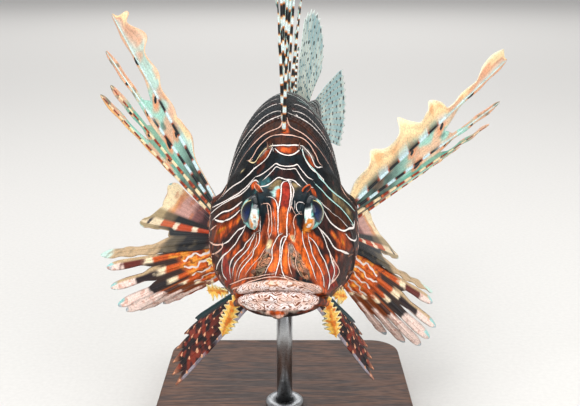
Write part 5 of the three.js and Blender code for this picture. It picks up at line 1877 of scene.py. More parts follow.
@dataclass(frozen=True)
class PlumePaint(FinPaint):
    """The high upper rays: black and pale blue or red and cream, in a thin teal membrane with a coloured frill."""

    frill: str
    edge: str
    curls: Profile = Profile((0.28, 0), (0.34, 1), (0.4, 1), (0.44, 0), (0.88, 0), (0.92, 1), (1, 1))
    dot_ink = Ink.NIGHT

    @staticmethod
    def bars(s: Array, ray: Array) -> Array:
        """The rays' bands: black and pale blue on the upper two, red, cream and black on the others."""
        beat = (s * (8.5 + 0.7 * ray) + 0.37 * ray) % 1.0
        cold = banded(beat, ((0, "0a1014"), (0.44, "a8481c"), (0.52, "cfe8ee"), (0.94, "a8481c")), 0.03)
        warm = banded(beat, ((0, "8e2e12"), (0.35, "f6dcb0"), (0.8, "14181a"), (0.9, "c8602a")), 0.03)
        cold = blend(cold, "d6efe9", 0.85 * smooth_step(s, 0.5, 0.62))
        return np.where(ray[:, None] < 2, cold, warm)

    def web(self, spot: Spot, s: Array) -> Array:
        """The membrane between the rays, and the frill before the first of them."""
        points, ray = spot.points, spot.ray
        frill = np.clip(-2 * spot.side, 0, 1) * (ray < 1)
        rear = np.clip(2 * spot.side, 0, 1) * (ray > 2)
        root = smooth_step(s, 0.4, 0.2) * smooth_step(frill, 0.3, 0.1)
        return layered(
            flood("a8dac8", len(s)),
            ("f0c8a4", clouds(points, 7.0, 32, 0.0, 0.5)),
            # The frill, with orange clouds.
            (self.frill, smooth_step(frill, 0.12, 0.3)),
            ("e79a5c", 0.6 * smooth_step(frill, 0.3, 0.5) * clouds(points, 5.0, 36, 0.2, 0.6)),
            # A warm end and warm patches, dark teal ones, and a clear green gap.
            ("e8a884", 0.85 * smooth_step(s, 0.72, 0.84)),
            ("e9ab86", 0.8 * clouds(points, 8.0, 34, 0.15, 0.5) * smooth_step(s, 0.25, 0.4)),
            ("2c6a60", 0.7 * clouds(points, 6.0, 35, 0.25, 0.6) * (ray > 0)),
            ("58b09a", 0.8 * (ray == 2) * smooth_step(s, 0.25, 0.4) * smooth_step(s, 0.9, 0.8)),
            # A halo round each spot, then the frill's cream curls and its edge.
            ("eb9c6c", 0.8 * smooth_step(self.marks(spot), 3.0, 1.0)),
            ("fde4b0", smooth_step(frill, 0.45, 0.6) * self.curls(s)),
            (self.edge, smooth_step(frill, 0.8, 0.95)),
            # The last ray's rear edge, and the dark root.
            ("f2b674", smooth_step(rear, 0.2, 0.5)),
            ("12201e", root * (0.85 + 0.15 * noise(points, 3.0, 33))),
        )

    def ground(self, spot: Spot) -> Array:
        """The colour of each place."""
        s = spot.along + 0.006 * noise(spot.points, 2.0, 31)
        on_ray = np.maximum(spot.bar, smooth_step(np.abs(spot.side), 0.12, 0.07))
        return blend(self.web(spot, s), self.bars(s, spot.ray), on_ray)

    def marks(self, spot: Spot) -> Array:
        """Dark spots in the membrane, beside the rays."""
        beside = Spot(spot.along, spot.fan - 0.22, spot.bar, spot.points)
        away = dots(beside, 130, 11, 24, 2.5, 0.3)
        return np.where((spot.bar > 0.5) | (spot.along > 0.8), FAR, away)


class SpinePaint(FinPaint):
    """The back's spines: black, pale blue and orange bands, with pale teal flags."""

    dot_ink = Ink.NIGHT

    def ground(self, spot: Spot) -> Array:
        """The colour of each place."""
        s = spot.along + 0.004 * noise(spot.points, 1.5, 41)
        spine = np.floor(spot.fan + 1e-3)
        beat = (s * (6.2 + 0.25 * spine) + 0.31 * spine) % 1.0
        bands = ((0, "0a1012"), (0.42, "c8742a"), (0.5, "dcecea"), (0.86, "f0b878"), (0.93, "5a2a1a"))
        bars = banded(beat, bands, 0.03)
        low = smooth_step(s, 0.32, 0.24) * (spine < 2)
        web = layered(
            flood("b8e4da", len(s)),
            ("f0e4ca", clouds(spot.points, 4.0, 42, 0.0, 0.5)),
            # Dark bars across the flags, and the first two spines' brown feet.
            ("10343a", 0.85 * smooth_step(beat, 0.04, 0.1) * smooth_step(beat, 0.36, 0.3)),
            ("d8a080", low),
            ("5a2c22", low * clouds(spot.points, 3.0, 43, 0.0, 0.4)),
        )
        return np.where(spot.bar[:, None] > 0.5, bars, web)


@dataclass(frozen=True)
class ClearPaint(FinPaint):
    """The thin hind fins: pale blue-grey with rows of dark dots on the rays."""

    reach: float = 62.0
    gap: float = 5.0
    dot_ink = Ink.NIGHT

    def ground(self, spot: Spot) -> Array:
        """The colour of each place."""
        s = spot.along
        web = blend(flood("9cc0c2", len(s)), "c9dcd6", clouds(spot.points, 8.0, 51, -0.3, 0.5))
        return layered(
            web,
            ("55807e", 0.7 * smooth_step(s, 0.3, 0.05)),
            ("e2cdb4", 0.6 * smooth_step(np.abs(spot.side), 0.14, 0.05)),
            ("dfe9e2", smooth_step(s, 0.93, 0.98)),
        )

    def marks(self, spot: Spot) -> Array:
        """The dots on the rays."""
        return dots(spot, self.reach, self.gap, 7.5, 1.25, 0.12)


class PelvicPaint(FinPaint):
    """The pelvic fins: maroon and black, with rows of pale orange spots, a pale front ray and a teal hind edge."""

    dot_ink = Ink.PALE_ORANGE

    def ground(self, spot: Spot) -> Array:
        """The colour of each place."""
        s, points = spot.along, spot.points
        web = blend(flood("170d12", len(s)), "3c1518", clouds(points, 4.0, 61, 0.0, 0.6))
        return layered(
            web,
            ("8a3220", smooth_step(s, 0.35, 0.7) * clouds(points, 3.0, 62, 0.0, 0.5)),
            ("a8a0aa", (spot.fan < 0.1) * clouds(points, 6.0, 63, -0.5, 0.2)),
            ("0e3a3e", smooth_step(spot.fan, 4.1, 4.8)),
            ("b8785a", 0.8 * smooth_step(s, 0.9, 0.97) * (spot.fan < 4)),
        )

    def marks(self, spot: Spot) -> Array:
        """Pale spots along the rays."""
        return np.where(spot.fan > 4.3, FAR, dots(spot, 75, 3.4, 6.5, 0.85, 0.1))


@dataclass(frozen=True)
class LeafPaint(FinPaint):
    """A skin leaf: cream and yellow with orange clouds, pale at its teeth."""

    base: str = "fbc75c"
    cloud: str = "dd761c"
    rim: str = "fff1b8"

    def ground(self, spot: Spot) -> Array:
        """The colour of each place."""
        points = spot.points
        return layered(
            flood(self.base, len(points)),
            (self.cloud, clouds(points, 1.7, 71, 0.1, 0.5)),
            (self.cloud, 0.7 * smooth_step(np.abs(spot.fan), 0.3, 0.1)),
            ("8a4416", 0.7 * smooth_step(spot.along, 0.16, 0.02)),
            (self.rim, smooth_step(np.abs(spot.fan), 0.7, 0.95)),
        )


@dataclass(frozen=True)
class FinSkin(Finish):
    """Thin wet skin stretched over fine rays: a soft gloss broken by close ribs that run with the rays."""

    ribs: float = 7.0
    grain: float = 0.9
    roughness: float = 0.42

    def shader(self, node: AddNode) -> Socket:
        """Adds the finish's nodes and gives the shader's output."""
        here = node("TexCoord", "Object")
        ground = node("Attribute", "Color", attribute_name="ground")
        fan = node("Attribute", "Fac", attribute_name="fan")
        grain = node("TexNoise", Vector=here, Scale=1 / (self.grain * MM), Detail=3.0, Roughness=0.6)
        cloud = node("TexNoise", Vector=here, Scale=1 / (5 * self.grain * MM), Detail=1.0)
        turn = node("Math", operation="MULTIPLY_ADD", input0=fan, input1=self.ribs * 2 * math.pi, input2=cloud)
        rib = node("Math", operation="SINE", input0=turn)
        light = node("MapRange", Value=grain, From_Min=0.3, From_Max=0.7, To_Min=0.72, To_Max=1.25)
        light = node("Math", operation="MULTIPLY_ADD", input0=rib, input1=0.06, input2=light)
        colour = node("HueSaturation", Value=light, Color=ground)
        mark = node("Attribute", "Fac", attribute_name="mark")
        wander = node("MapRange", Value=grain, From_Min=0.3, From_Max=0.7, To_Min=-0.15, To_Max=0.15)
        mark = node("Math", operation="ADD", input0=mark, input1=wander)
        mask = node("MapRange", interpolation_type="SMOOTHSTEP", Value=mark, From_Min=0.15, From_Max=-0.15)
        ink = node("Attribute", "Color", attribute_name="mark_ink")
        colour = node("Mix", 2, data_type="RGBA", Factor=mask, A=colour, B=ink)
        raised = node("Math", operation="MULTIPLY_ADD", input0=rib, input1=0.35, input2=grain)
        bump = node("Bump", Height=raised, Distance=0.00018, Strength=0.6)
        rough = node("MapRange", Value=grain, From_Min=0.3, From_Max=0.7, To_Min=self.roughness - 0.08,
                         To_Max=self.roughness + 0.14)
        return node("BsdfPrincipled", Base_Color=colour, Roughness=rough, Normal=bump, Specular_IOR_Level=0.35)


@dataclass(frozen=True)
class Walnut(Finish):
    """Oiled walnut: long brown grain with darker year rings and fine open pores."""

    def shader(self, node: AddNode) -> Socket:
        """Adds the finish's nodes and gives the shader's output."""
        here = node("TexCoord", "Object")
        long = node("Mapping", Vector=here, Scale=(1.0, 9.0, 9.0))
        rings = node("TexNoise", Vector=long, Scale=9.0, Detail=3.0, Distortion=1.2)
        waves = node("Math", operation="MULTIPLY", input0=rings, input1=34.0)
        waves = node("Math", operation="SINE", input0=waves)
        pores = node("TexNoise", Vector=long, Scale=160.0, Detail=2.0)
        share = node("MapRange", Value=waves, From_Min=-1.0, From_Max=1.0)
        wood = node("Mix", 2, data_type="RGBA", Factor=share, A=linear("3b2216"), B=linear("6a4228"))
        light = node("MapRange", Value=pores, From_Min=0.35, From_Max=0.65, To_Min=0.7, To_Max=1.15)
        wood = node("HueSaturation", Value=light, Color=wood)
        rough = node("MapRange", Value=pores, From_Min=0.35, From_Max=0.65, To_Min=0.52, To_Max=0.36)
        bump = node("Bump", Height=pores, Distance=0.0001, Strength=0.5)
        return node("BsdfPrincipled", Base_Color=wood, Roughness=rough, Normal=bump)


@dataclass(frozen=True)
class Grained(Finish):
    """A plain stuff with a fine grain in its colour and its gloss."""

    dark: str
    light: str
    size: float
    roughness: float
    stretch: Triple = (1.0, 1.0, 1.0)
    metallic: float = 0.0

    def shader(self, node: AddNode) -> Socket:
        """Adds the finish's nodes and gives the shader's output."""
        here = node("Mapping", Vector=node("TexCoord", "Object"), Scale=self.stretch)
        grain = node("TexNoise", Vector=here, Scale=1 / (self.size * MM), Detail=3.0)
        share = node("MapRange", Value=grain, From_Min=0.3, From_Max=0.7)
        colour = node("Mix", 2, data_type="RGBA", Factor=share, A=linear(self.dark), B=linear(self.light))
        rough = node("MapRange", Value=grain, From_Min=0.3, From_Max=0.7, To_Min=self.roughness - 0.06,
                         To_Max=self.roughness + 0.1)
        return node("BsdfPrincipled", Base_Color=colour, Roughness=rough, Metallic=self.metallic)


Ray = Callable[[Array], Array]


@dataclass
class Fan:
    """Fin rays with the membrane between them, which is cut back to a share of each gap."""

    name: str
    node: str
    rays: list[Ray]
    webs: Sequence[float]
    finger: float
    width: Profile
    bar: float
    paint: FinPaint
    first_edge: Callable[[Array], Array] | None = None
    last_edge: Callable[[Array], Array] | None = None
    columns: int = 5
    rows: int = 150
    ruffle: float = 0.0
    thickness: float = 0.45
    cut: float = 0.05
    bar_sides: int = 6
    bar_reach: float = 0.995
    bar_tip: float = 0.08
    taper: float = 0.75
    weld: float = 0.01

    def across(self, index: int, s: Array) -> Array:
        """The direction from one ray towards the next, square to the ray."""
        last = len(self.rays) - 1
        under, over = self.rays[max(index - 1, 0)](s), self.rays[min(index + 1, last)](s)
        side = over - under
        if index == 0 or index == last:
            side = np.where(np.linalg.norm(side, axis=1, keepdims=True) > 0.5, side, over[-1] - under[-1])
        ahead = unit(self.rays[index](s + 0.01) - self.rays[index](s - 0.01))
        return unit(side - np.sum(side * ahead, 1, keepdims=True) * ahead)

    def strip(self, index: int) -> Place:
        """The membrane that one ray carries on both its sides."""
        last = len(self.rays) - 1

        def place(u: Array, v: Array) -> Array:
            """A place on it: u runs across the ray and v along it."""
            side, s = 2 * u - 1, v
            middle = self.rays[index](s)
            sideways = self.across(index, s)
            free = self.finger * self.width(s) * side
            if index == 0 and self.first_edge:
                free = np.where(side < 0, self.first_edge(s) * side, free)
            if index == last and self.last_edge:
                free = np.where(side > 0, self.last_edge(s) * side, free)
            alone = middle + sideways * free[:, None]
            wave = np.sin(s * 38 + index * 1.7) * np.abs(side) ** 1.5 * np.abs(free) * self.ruffle
            ahead = unit(self.rays[index](s + 0.01) - self.rays[index](s - 0.01))
            alone = alone + np.cross(ahead, sideways) * wave[:, None]
            held = alone.copy()
            loose = np.ones(len(s))
            for step, chosen in ((1, side > 0), (-1, side < 0)):
                other = index + step
                if not 0 <= other <= last or not chosen.any():
                    continue
                web = self.webs[min(index, other)]
                to_next = self.rays[other](s) - middle
                held[chosen] = (middle + to_next * (np.abs(side) / 2)[:, None])[chosen]
                loose[chosen] = smooth_step(s, web - self.cut, web + self.cut)[chosen]
            return held * (1 - loose[:, None]) + alone * loose[:, None]

        return place

    def build(self) -> None:
        """Makes the fin's membrane, and its rays as round bars in it."""
        sheets, bars = Sheets(), Sheets()
        s = np.linspace(0, 1, self.rows + 1)
        radius = self.bar * (1 - self.taper * s) + self.bar_tip
        for i, ray in enumerate(self.rays):
            sheets.grid(2 * self.columns, self.rows, self.strip(i), lambda u, i=i: i + (2 * u - 1) / 2)
            bars.tube(ray(s * self.bar_reach), radius, self.bar_sides, i)
        membrane, rays = sheets.finish(self.name, self.weld), bars.finish(self.name + "_rays")
        thicken(membrane, self.thickness)
        for piece in (membrane, rays):
            self.paint.apply(piece.data)
        finish = FinSkin("spotted fin skin")
        dress(membrane, finish, "fins", self.node)
        dress(rays, finish, "fins")


@dataclass(frozen=True)
class PectoralFin:
    """One pectoral fin: its rays' reach in millimetres, sweep back and rise in degrees, and the upper frill."""

    side: int
    word: str
    reach: Profile
    sweep: Profile
    rise: Profile
    lobes: Profile
    plume: PlumePaint
    count: int = 13
    groups: tuple[tuple[str, int, tuple[float, ...], float], ...] = (
        ("upper", 0, (0.62, 0.62, 0.62), 2.3),
        ("middle", 4, (0.91, 0.54), 4.4),
        ("lower", 7, (0.66, 0.66, 0.66, 0.66, 0.66), 2.9),
    )
    finger: Profile = Profile((0, 0.28), (0.3, 0.56), (0.66, 0.8), (0.87, 1), (0.94, 0.85), (0.98, 0.55), (1, 0.2))
    sheet: Profile = Profile((0, 3.4), (0.3, 5.2), (0.6, 5.4), (0.9, 4.6), (0.97, 2.4), (1, 0.6))
    sag: Triple = (0.0, -0.025, 0.012)

    def ray(self, index: int) -> Ray:
        """The line of one ray."""
        root = SHOULDER.at(self.side, index / (self.count - 1))
        reach = float(self.reach(index))
        tip = root + heading(self.side, float(self.sweep(index)), float(self.rise(index))) * reach
        sag = np.array(self.sag) * reach

        def place(s: Array) -> Array:
            """The ray's places at shares of its length."""
            t = s[:, None]
            return root * (1 - t) + tip * t + sag * 4 * t * (1 - t)

        return place

    def build(self) -> None:
        """Makes the fin's three groups of rays."""
        for name, start, webs, finger in self.groups:
            rays = [self.ray(start + i) for i in range(len(webs) + 1)]
            node = f"pectoral_fin_{self.word}_{name}"
            frill = self.lobes if name == "upper" else None
            paint = {"upper": self.plume, "middle": LobePaint(), "lower": FingerPaint()}[name]
            Fan(
                f"{self.word}_pectoral_{name}", node, rays, webs, finger, self.finger, 1.15, paint,
                first_edge=frill, last_edge=self.sheet if name == "middle" else None, ruffle=0.22 if frill else 0.1,
            ).build()


@dataclass(frozen=True, kw_only=True)
class PleatedFin:
    """A fin of many close rays in one pleated membrane."""

    name: str
    node: str
    count: int
    bar: float = 0.5
    web: float = 0.965
    finger: float = 1.2
    width: Profile = Profile((0, 1), (0.9, 0.9), (1, 0.3))
    paint: FinPaint = ClearPaint()
    rows: int = 120
    thickness: float = 0.35
    cut: float = 0.035

    def ray(self, index: int) -> Ray:
        """The line of one ray."""
        raise NotImplementedError

    def build(self) -> None:
        """Makes the membrane with its rays."""
        rays = [self.ray(i) for i in range(self.count)]
        Fan(
            self.name, self.node, rays, [self.web] * (self.count - 1), self.finger, self.width, self.bar, self.paint,
            columns=4, rows=self.rows, thickness=self.thickness, cut=self.cut,
        ).build()


@dataclass(frozen=True, kw_only=True)
class MiddleFin(PleatedFin):
    """A fin on the fish's middle line, along its back or under its tail: its reach and its lean back in degrees."""

    start: float
    end: float
    reach: Triple
    lean: Triple
    up: int = 1
    sunk: float = 2.5
    rows: int = 110

    def ray(self, index: int, sway: float = 0.0) -> Ray:
        """The line of one ray, which leans to the left by some degrees."""
        t = index / (self.count - 1)
        y = self.start + (self.end - self.start) * t
        foot = np.array([0.0, y, float((BODY.back if self.up > 0 else BODY.keel)(y)) - self.up * self.sunk])
        lean, reach = math.radians(float(bow(self.lean, t))), float(bow(self.reach, t)) + self.sunk
        ahead = np.array([math.tan(math.radians(sway)), math.sin(lean), self.up * math.cos(lean)]) * reach
        return lambda s: FISH.bend(foot + ahead * s[:, None])


@dataclass(frozen=True, kw_only=True)
class DorsalSpines(MiddleFin):
    """The tall spines of the back, each with a ragged flag of membrane behind it."""

    web: float = 0.18
    thick: float = 1.035
    sway: float = 2.6
    flag: float = 4.6
    flag_shape: Profile = Profile((0, 1), (0.1, 0.7), (0.25, 0.55), (0.55, 0.9), (0.8, 1), (0.93, 0.6), (1, 0.05))
    flag_back: Triple = (0.0, 1.0, 0.2)
    curl: float = 0.9
    notches: int = 40

    def membrane(self, index: int, spine: Ray, after: Ray) -> Place:
        """The flag behind one spine, and the web that holds its foot to the next one's."""
        ragged = np.random.default_rng(index).uniform(0.75, 1.1, self.notches)

        def place(u: Array, v: Array) -> Array:
            """A place on it: u runs back from the spine and v along it."""
            edge = np.interp(v * (self.notches - 1), np.arange(self.notches), ragged)
            back = np.array(self.flag_back) * (self.flag * self.flag_shape(v) * edge * u)[:, None]
            curl = np.array([1.0, 0, 0]) * (np.sin(v * 17 + index) * self.curl * u * u)[:, None]
            free = spine(v) + back + curl
            if index == self.count - 1:
                return free
            low = smooth_step(v, self.web + 0.03, self.web - 0.06)[:, None]
            held = spine(v) + (after(v) - spine(v)) * (u * 0.99)[:, None]
            return free * (1 - low) + held * low

        return place

    def build(self) -> None:
        """Makes the spines, their flags and the web between their feet."""
        sheets, bars = Sheets(), Sheets()
        s = np.linspace(0, 1, 130)
        for i in range(self.count):
            spine = self.ray(i, self.sway * math.sin(2.4 * i + 2.2))
            after = self.ray(min(i + 1, self.count - 1))
            sheets.grid(5, self.rows, self.membrane(i, spine, after), lambda u, i=i: i + u * 0.9)
            bars.tube(spine(s), self.thick * (1 - 0.8 * s**1.5), 8, i)
        flags, spines = sheets.finish(self.name + "_flags"), bars.finish(self.name)
        thicken(flags, self.thickness)
        for piece in (flags, spines):
            SpinePaint().apply(piece.data)
        finish = FinSkin("spotted fin skin")
        dress(spines, finish, "fins", self.node)
        dress(flags, finish, "fins")


@dataclass(frozen=True, kw_only=True)
class TailFin(PleatedFin):
    """The rounded tail fin."""

    root: float = 241.0
    middle: float = 5.2
    half: float = 10.5
    reach: float = 74.0
    round: float = 6.0
    spread: float = 17.0

    def ray(self, index: int) -> Ray:
        """The line of one ray."""
        t = 2 * index / (self.count - 1) - 1
        turn = math.radians(self.spread * t)
        foot = np.array([0.0, self.root, self.middle + self.half * t])
        ahead = np.array([0.0, math.cos(turn), math.sin(turn)]) * (self.reach - self.round * t * t)
        return lambda s: FISH.bend(foot + ahead * s[:, None])


@dataclass(frozen=True, kw_only=True)
class PelvicFin(PleatedFin):
    """One pelvic fin under the belly: its rays' reach, and their turns outwards and back from straight down."""

    side: int
    reach: Triple
    out: Triple
    back: Triple
    count: int = 6
    bar: float = 0.9
    web: float = 0.93
    finger: float = 1.6
    width: Profile = Profile((0, 1), (0.9, 0.8), (1, 0.3))
    paint: FinPaint = PelvicPaint()
    thickness: float = 0.5
    cut: float = 0.06
    root_x: float = 9.0
    root_y: float = 74.0
    spacing: float = 2.4
    spread: float = 3.0
    sunk: float = 5.0

    def ray(self, index: int) -> Ray:
        """The line of one ray."""
        t = index / (self.count - 1)
        y = self.root_y + self.spacing * index
        foot = np.array([self.side * (self.root_x + self.spread * t), y, float(BODY.keel(y)) + self.sunk])
        out, back = (math.radians(float(bow(turn, t))) for turn in (self.out, self.back))
        down = np.array([self.side * math.sin(out) * math.cos(back), math.sin(back), -math.cos(out) * math.cos(back)])
        ahead = down * float(bow(self.reach, t))
        return lambda s: foot + ahead * s[:, None]


@dataclass(frozen=True)
class Flap:
    """A fleshy leaf of skin on the face, with toothed edges."""

    name: str
    root: Triple
    tip: Triple
    across: Triple
    width: float
    teeth: int
    paint: LeafPaint = LeafPaint()

    def build(self) -> None:
        """Makes the leaf and gives it a thickness."""
        root, tip = np.array(self.root), np.array(self.tip)
        wide = unit(np.array(self.across))
        ahead = unit(tip - root)
        wide = unit(wide - (wide @ ahead) * ahead)
        over = np.cross(ahead, wide)
        length = float(np.linalg.norm(tip - root))
        ragged = np.random.default_rng(len(self.name) + self.teeth).uniform(0.6, 1.0, (2, self.teeth + 2))

        def outline(v: Array, which: int) -> Array:
            """The half width at a share of the length, with its teeth."""
            leaf = np.sin(math.pi * np.clip(v * 0.92 + 0.05, 0, 1)) ** 0.8 * (0.45 + 0.75 * v)
            leaf = leaf * smooth_step(v, 1.0, 0.86)
            phase = v * (self.teeth + 0.5) + 0.35 * which
            tooth = 0.42 + 0.58 * (1 - np.abs(2 * (phase % 1) - 1.0)) ** 1.3
            size = np.interp(phase, np.arange(self.teeth + 2), ragged[which])
            return self.width / 2 * leaf * tooth * size + 0.5 * (1 - v)

        def place(u: Array, v: Array) -> Array:
            """A place on the leaf: u runs across it and v along it."""
            s = 2 * u - 1
            half = np.where(s > 0, outline(v, 0), outline(v, 1))
            curl = np.sin(v * 9 + 2 * s) * 0.12 * half * np.abs(s)
            fold = -0.35 * np.abs(s) ** 1.3 * half
            line = root + ahead * (length * v)[:, None] + over * (0.06 * length * np.sin(math.pi * v))[:, None]
            return line + wide * (s * half)[:, None] + over * (curl + fold)[:, None]

        sheets = Sheets()
        sheets.grid(22, 150, place, lambda u: 2 * u - 1)
        leaf = sheets.finish(self.name + "_leaf")
        self.paint.apply(leaf.data)
        thicken(leaf, 0.7)
        dress(leaf, FinSkin("fleshy leaf", 1.5), "tentacles", self.name)


@dataclass(frozen=True)
class EyeFinish(Finish):
    """A wet cornea over a painted iris: a clear hard gloss."""

    def shader(self, node: AddNode) -> Socket:
        """Adds the finish's nodes and gives the shader's output."""
        here = node("TexCoord", "Object")
        colour = node("Attribute", "Color", attribute_name="ground")
        grain = node("TexNoise", Vector=here, Scale=1 / (0.7 * MM), Detail=3.0)
        light = node("MapRange", Value=grain, From_Min=0.3, From_Max=0.7, To_Min=0.75, To_Max=1.3)
        varied = node("HueSaturation", Value=light, Color=colour)
        rough = node("MapRange", Value=grain, From_Min=0.3, From_Max=0.7, To_Min=0.1, To_Max=0.25)
        return node(
            "BsdfPrincipled", Base_Color=varied, Roughness=rough, Coat_Weight=0.25, Coat_Roughness=0.03,
            Specular_IOR_Level=0.3,
        )


@dataclass(frozen=True)
class Eyeballs:
    """The two eyes, each a ball cut flat inside its lid."""

    turn: float = 54.0
    lift: float = 25.0
    half_width: float = 22.0
    half_height: float = 34.0
    inside: float = 0.4

    def colours(self, points: Array, side: int) -> Array:
        """The eyeball's colours: a tall dark pupil, a pale rim outside it and a teal iris, white and orange inwards.

        Args:
            points: Places in the fish's frame.
            side: 1 for the left eye, -1 for the right.

        Returns:
            A colour for each place.
        """
        offset = unit(points - EYE.centre(side))
        swing = np.degrees(np.arctan2(side * offset[:, 0], -offset[:, 1]))
        height = np.degrees(np.arcsin(np.clip(offset[:, 2], -1, 1)))
        across, above = (swing - self.turn) / self.half_width, (height - self.lift) / self.half_height
        away = np.hypot(across, above)
        streak = noise(np.stack([np.arctan2(above, across) * 8, away * 0.7, 0 * away], -1), 1.0, 8)
        inner, patchy = smooth_step(across, -0.9, -1.5), noise(points, 2.0, 9)
        glow = smooth_step(across, 0.9, -0.9) * smooth_step(above, 0.9, -0.4)
        return layered(
            flood("1b5a5e", len(points)),
            ("7cc8c0", smooth_step(streak, -0.3, 0.5)),
            # White skin and an orange patch towards the snout.
            ("e9f4ee", inner * smooth_step(patchy, -0.6, 0.0)),
            ("e08a2c", inner * smooth_step(patchy, 0.12, 0.3) * smooth_step(height, 30, 5)),
            # A pale rim behind the pupil, then brown and black.
            ("d6ece4", smooth_step(across, 0.8, 1.0) * smooth_step(across, 1.5, 1.25)),
            ("8a4a20", smooth_step(away, 2.1, 2.4) * smooth_step(across, 0.5, 1.0)),
            ("1a1410", smooth_step(away, 2.7, 2.9) * smooth_step(across, 0.5, 1.0)),
            # A dark top and a brown foot.
            ("081418", smooth_step(height + 14 * inner, 46, 58)),
            ("6a3a14", smooth_step(height, -36, -50)),
            # The pupil's dark ring, its golden rim, and black with a deep blue glow inside it.
            ("0a2226", smooth_step(away, 1.3, 1.16)),
            ("e2d28a", smooth_step(away, 1.16, 1.1) * smooth_step(across, 0.1, 0.5)),
            (blend(flood("03050c", len(points)), "0b2350", glow), smooth_step(away, 1.04, 0.98)),
        )

    def build(self) -> None:
        """Makes each eyeball in its socket."""
        for side, word in SIDES:
            ball = bmesh.new()
            bmesh.ops.create_uvsphere(ball, u_segments=128, v_segments=96, radius=EYE.radius, calc_uvs=False)
            bmesh.ops.bisect_plane(
                ball, geom=ball.verts[:] + ball.edges[:] + ball.faces[:], dist=1e-5,
                plane_co=(0, 0, self.inside), plane_no=(0, 0, 1), clear_inner=True,
            )
            bmesh.ops.contextual_create(ball, geom=[e for e in ball.edges if e.is_boundary])
            turn = Vector((0, 0, 1)).rotation_difference(Vector(EYE.axis(side)))
            bmesh.ops.rotate(ball, verts=ball.verts, cent=(0, 0, 0), matrix=turn.to_matrix())
            bmesh.ops.translate(ball, verts=ball.verts, vec=Vector(EYE.centre(side)))
            mesh = bpy.data.meshes.new(f"eyeball_{word}")
            ball.to_mesh(mesh)
            ball.free()
            put(mesh, "ground", self.colours(places(mesh), side))
            move(mesh, FISH.world(places(mesh)))
            dress(add(f"eyeball_{word}", mesh), EyeFinish("wet cornea"), "eyes", f"eye_{word}")


@dataclass(frozen=True)
class Thorns:
    """The small bony thorns of the cheeks and the nape, and the nostrils, given for the left side."""

    # Each thorn's root, the way to its tip and its radius.
    nape: tuple = ((7.3, 69, 43.3), (0.6, 3.4, 2.6), 1.0)
    edge_heights: tuple[float, ...] = (-4, -13, -22)
    nostril: Triple = (10.6, 11.2, 8.8)
    nostril_rise: Triple = (0.9, -1.5, 2.6)

    def rows(self) -> list[tuple]:
        """Root, way to the tip and radius of every thorn of the left side."""
        edge = [
            ((BODY.flank(50, z) - 1, 49 - i, z), (3.6, 4, -1), 1.5) for i, z in enumerate(self.edge_heights)
        ]
        return [*edge, ((BODY.flank(34, 2) - 0.8, 33, 2), (2.4, 3.2, 0), 1.3), self.nape]

    def build(self) -> None:
        """Makes every thorn and both nostril tubes."""
        sheets = Sheets()
        s = np.linspace(0, 1, 9)
        for side, _ in SIDES:
            mirror = np.array([side, 1, 1], float)
            for root, way, radius in self.rows():
                line = mirror * root + mirror * way * s[:, None] * 0.98
                sheets.tube(line, 0.6 * radius * (1 - s) ** 0.8 + 0.05, 10)
            line = mirror * self.nostril + mirror * self.nostril_rise * s[:, None]
            sheets.tube(line, 0.75 + 0.35 * s**2, 14)
        dress(sheets.finish("thorns"), Grained("bony thorn", "3a1a12", "8a5a40", 0.8, 0.45), "skin_head")


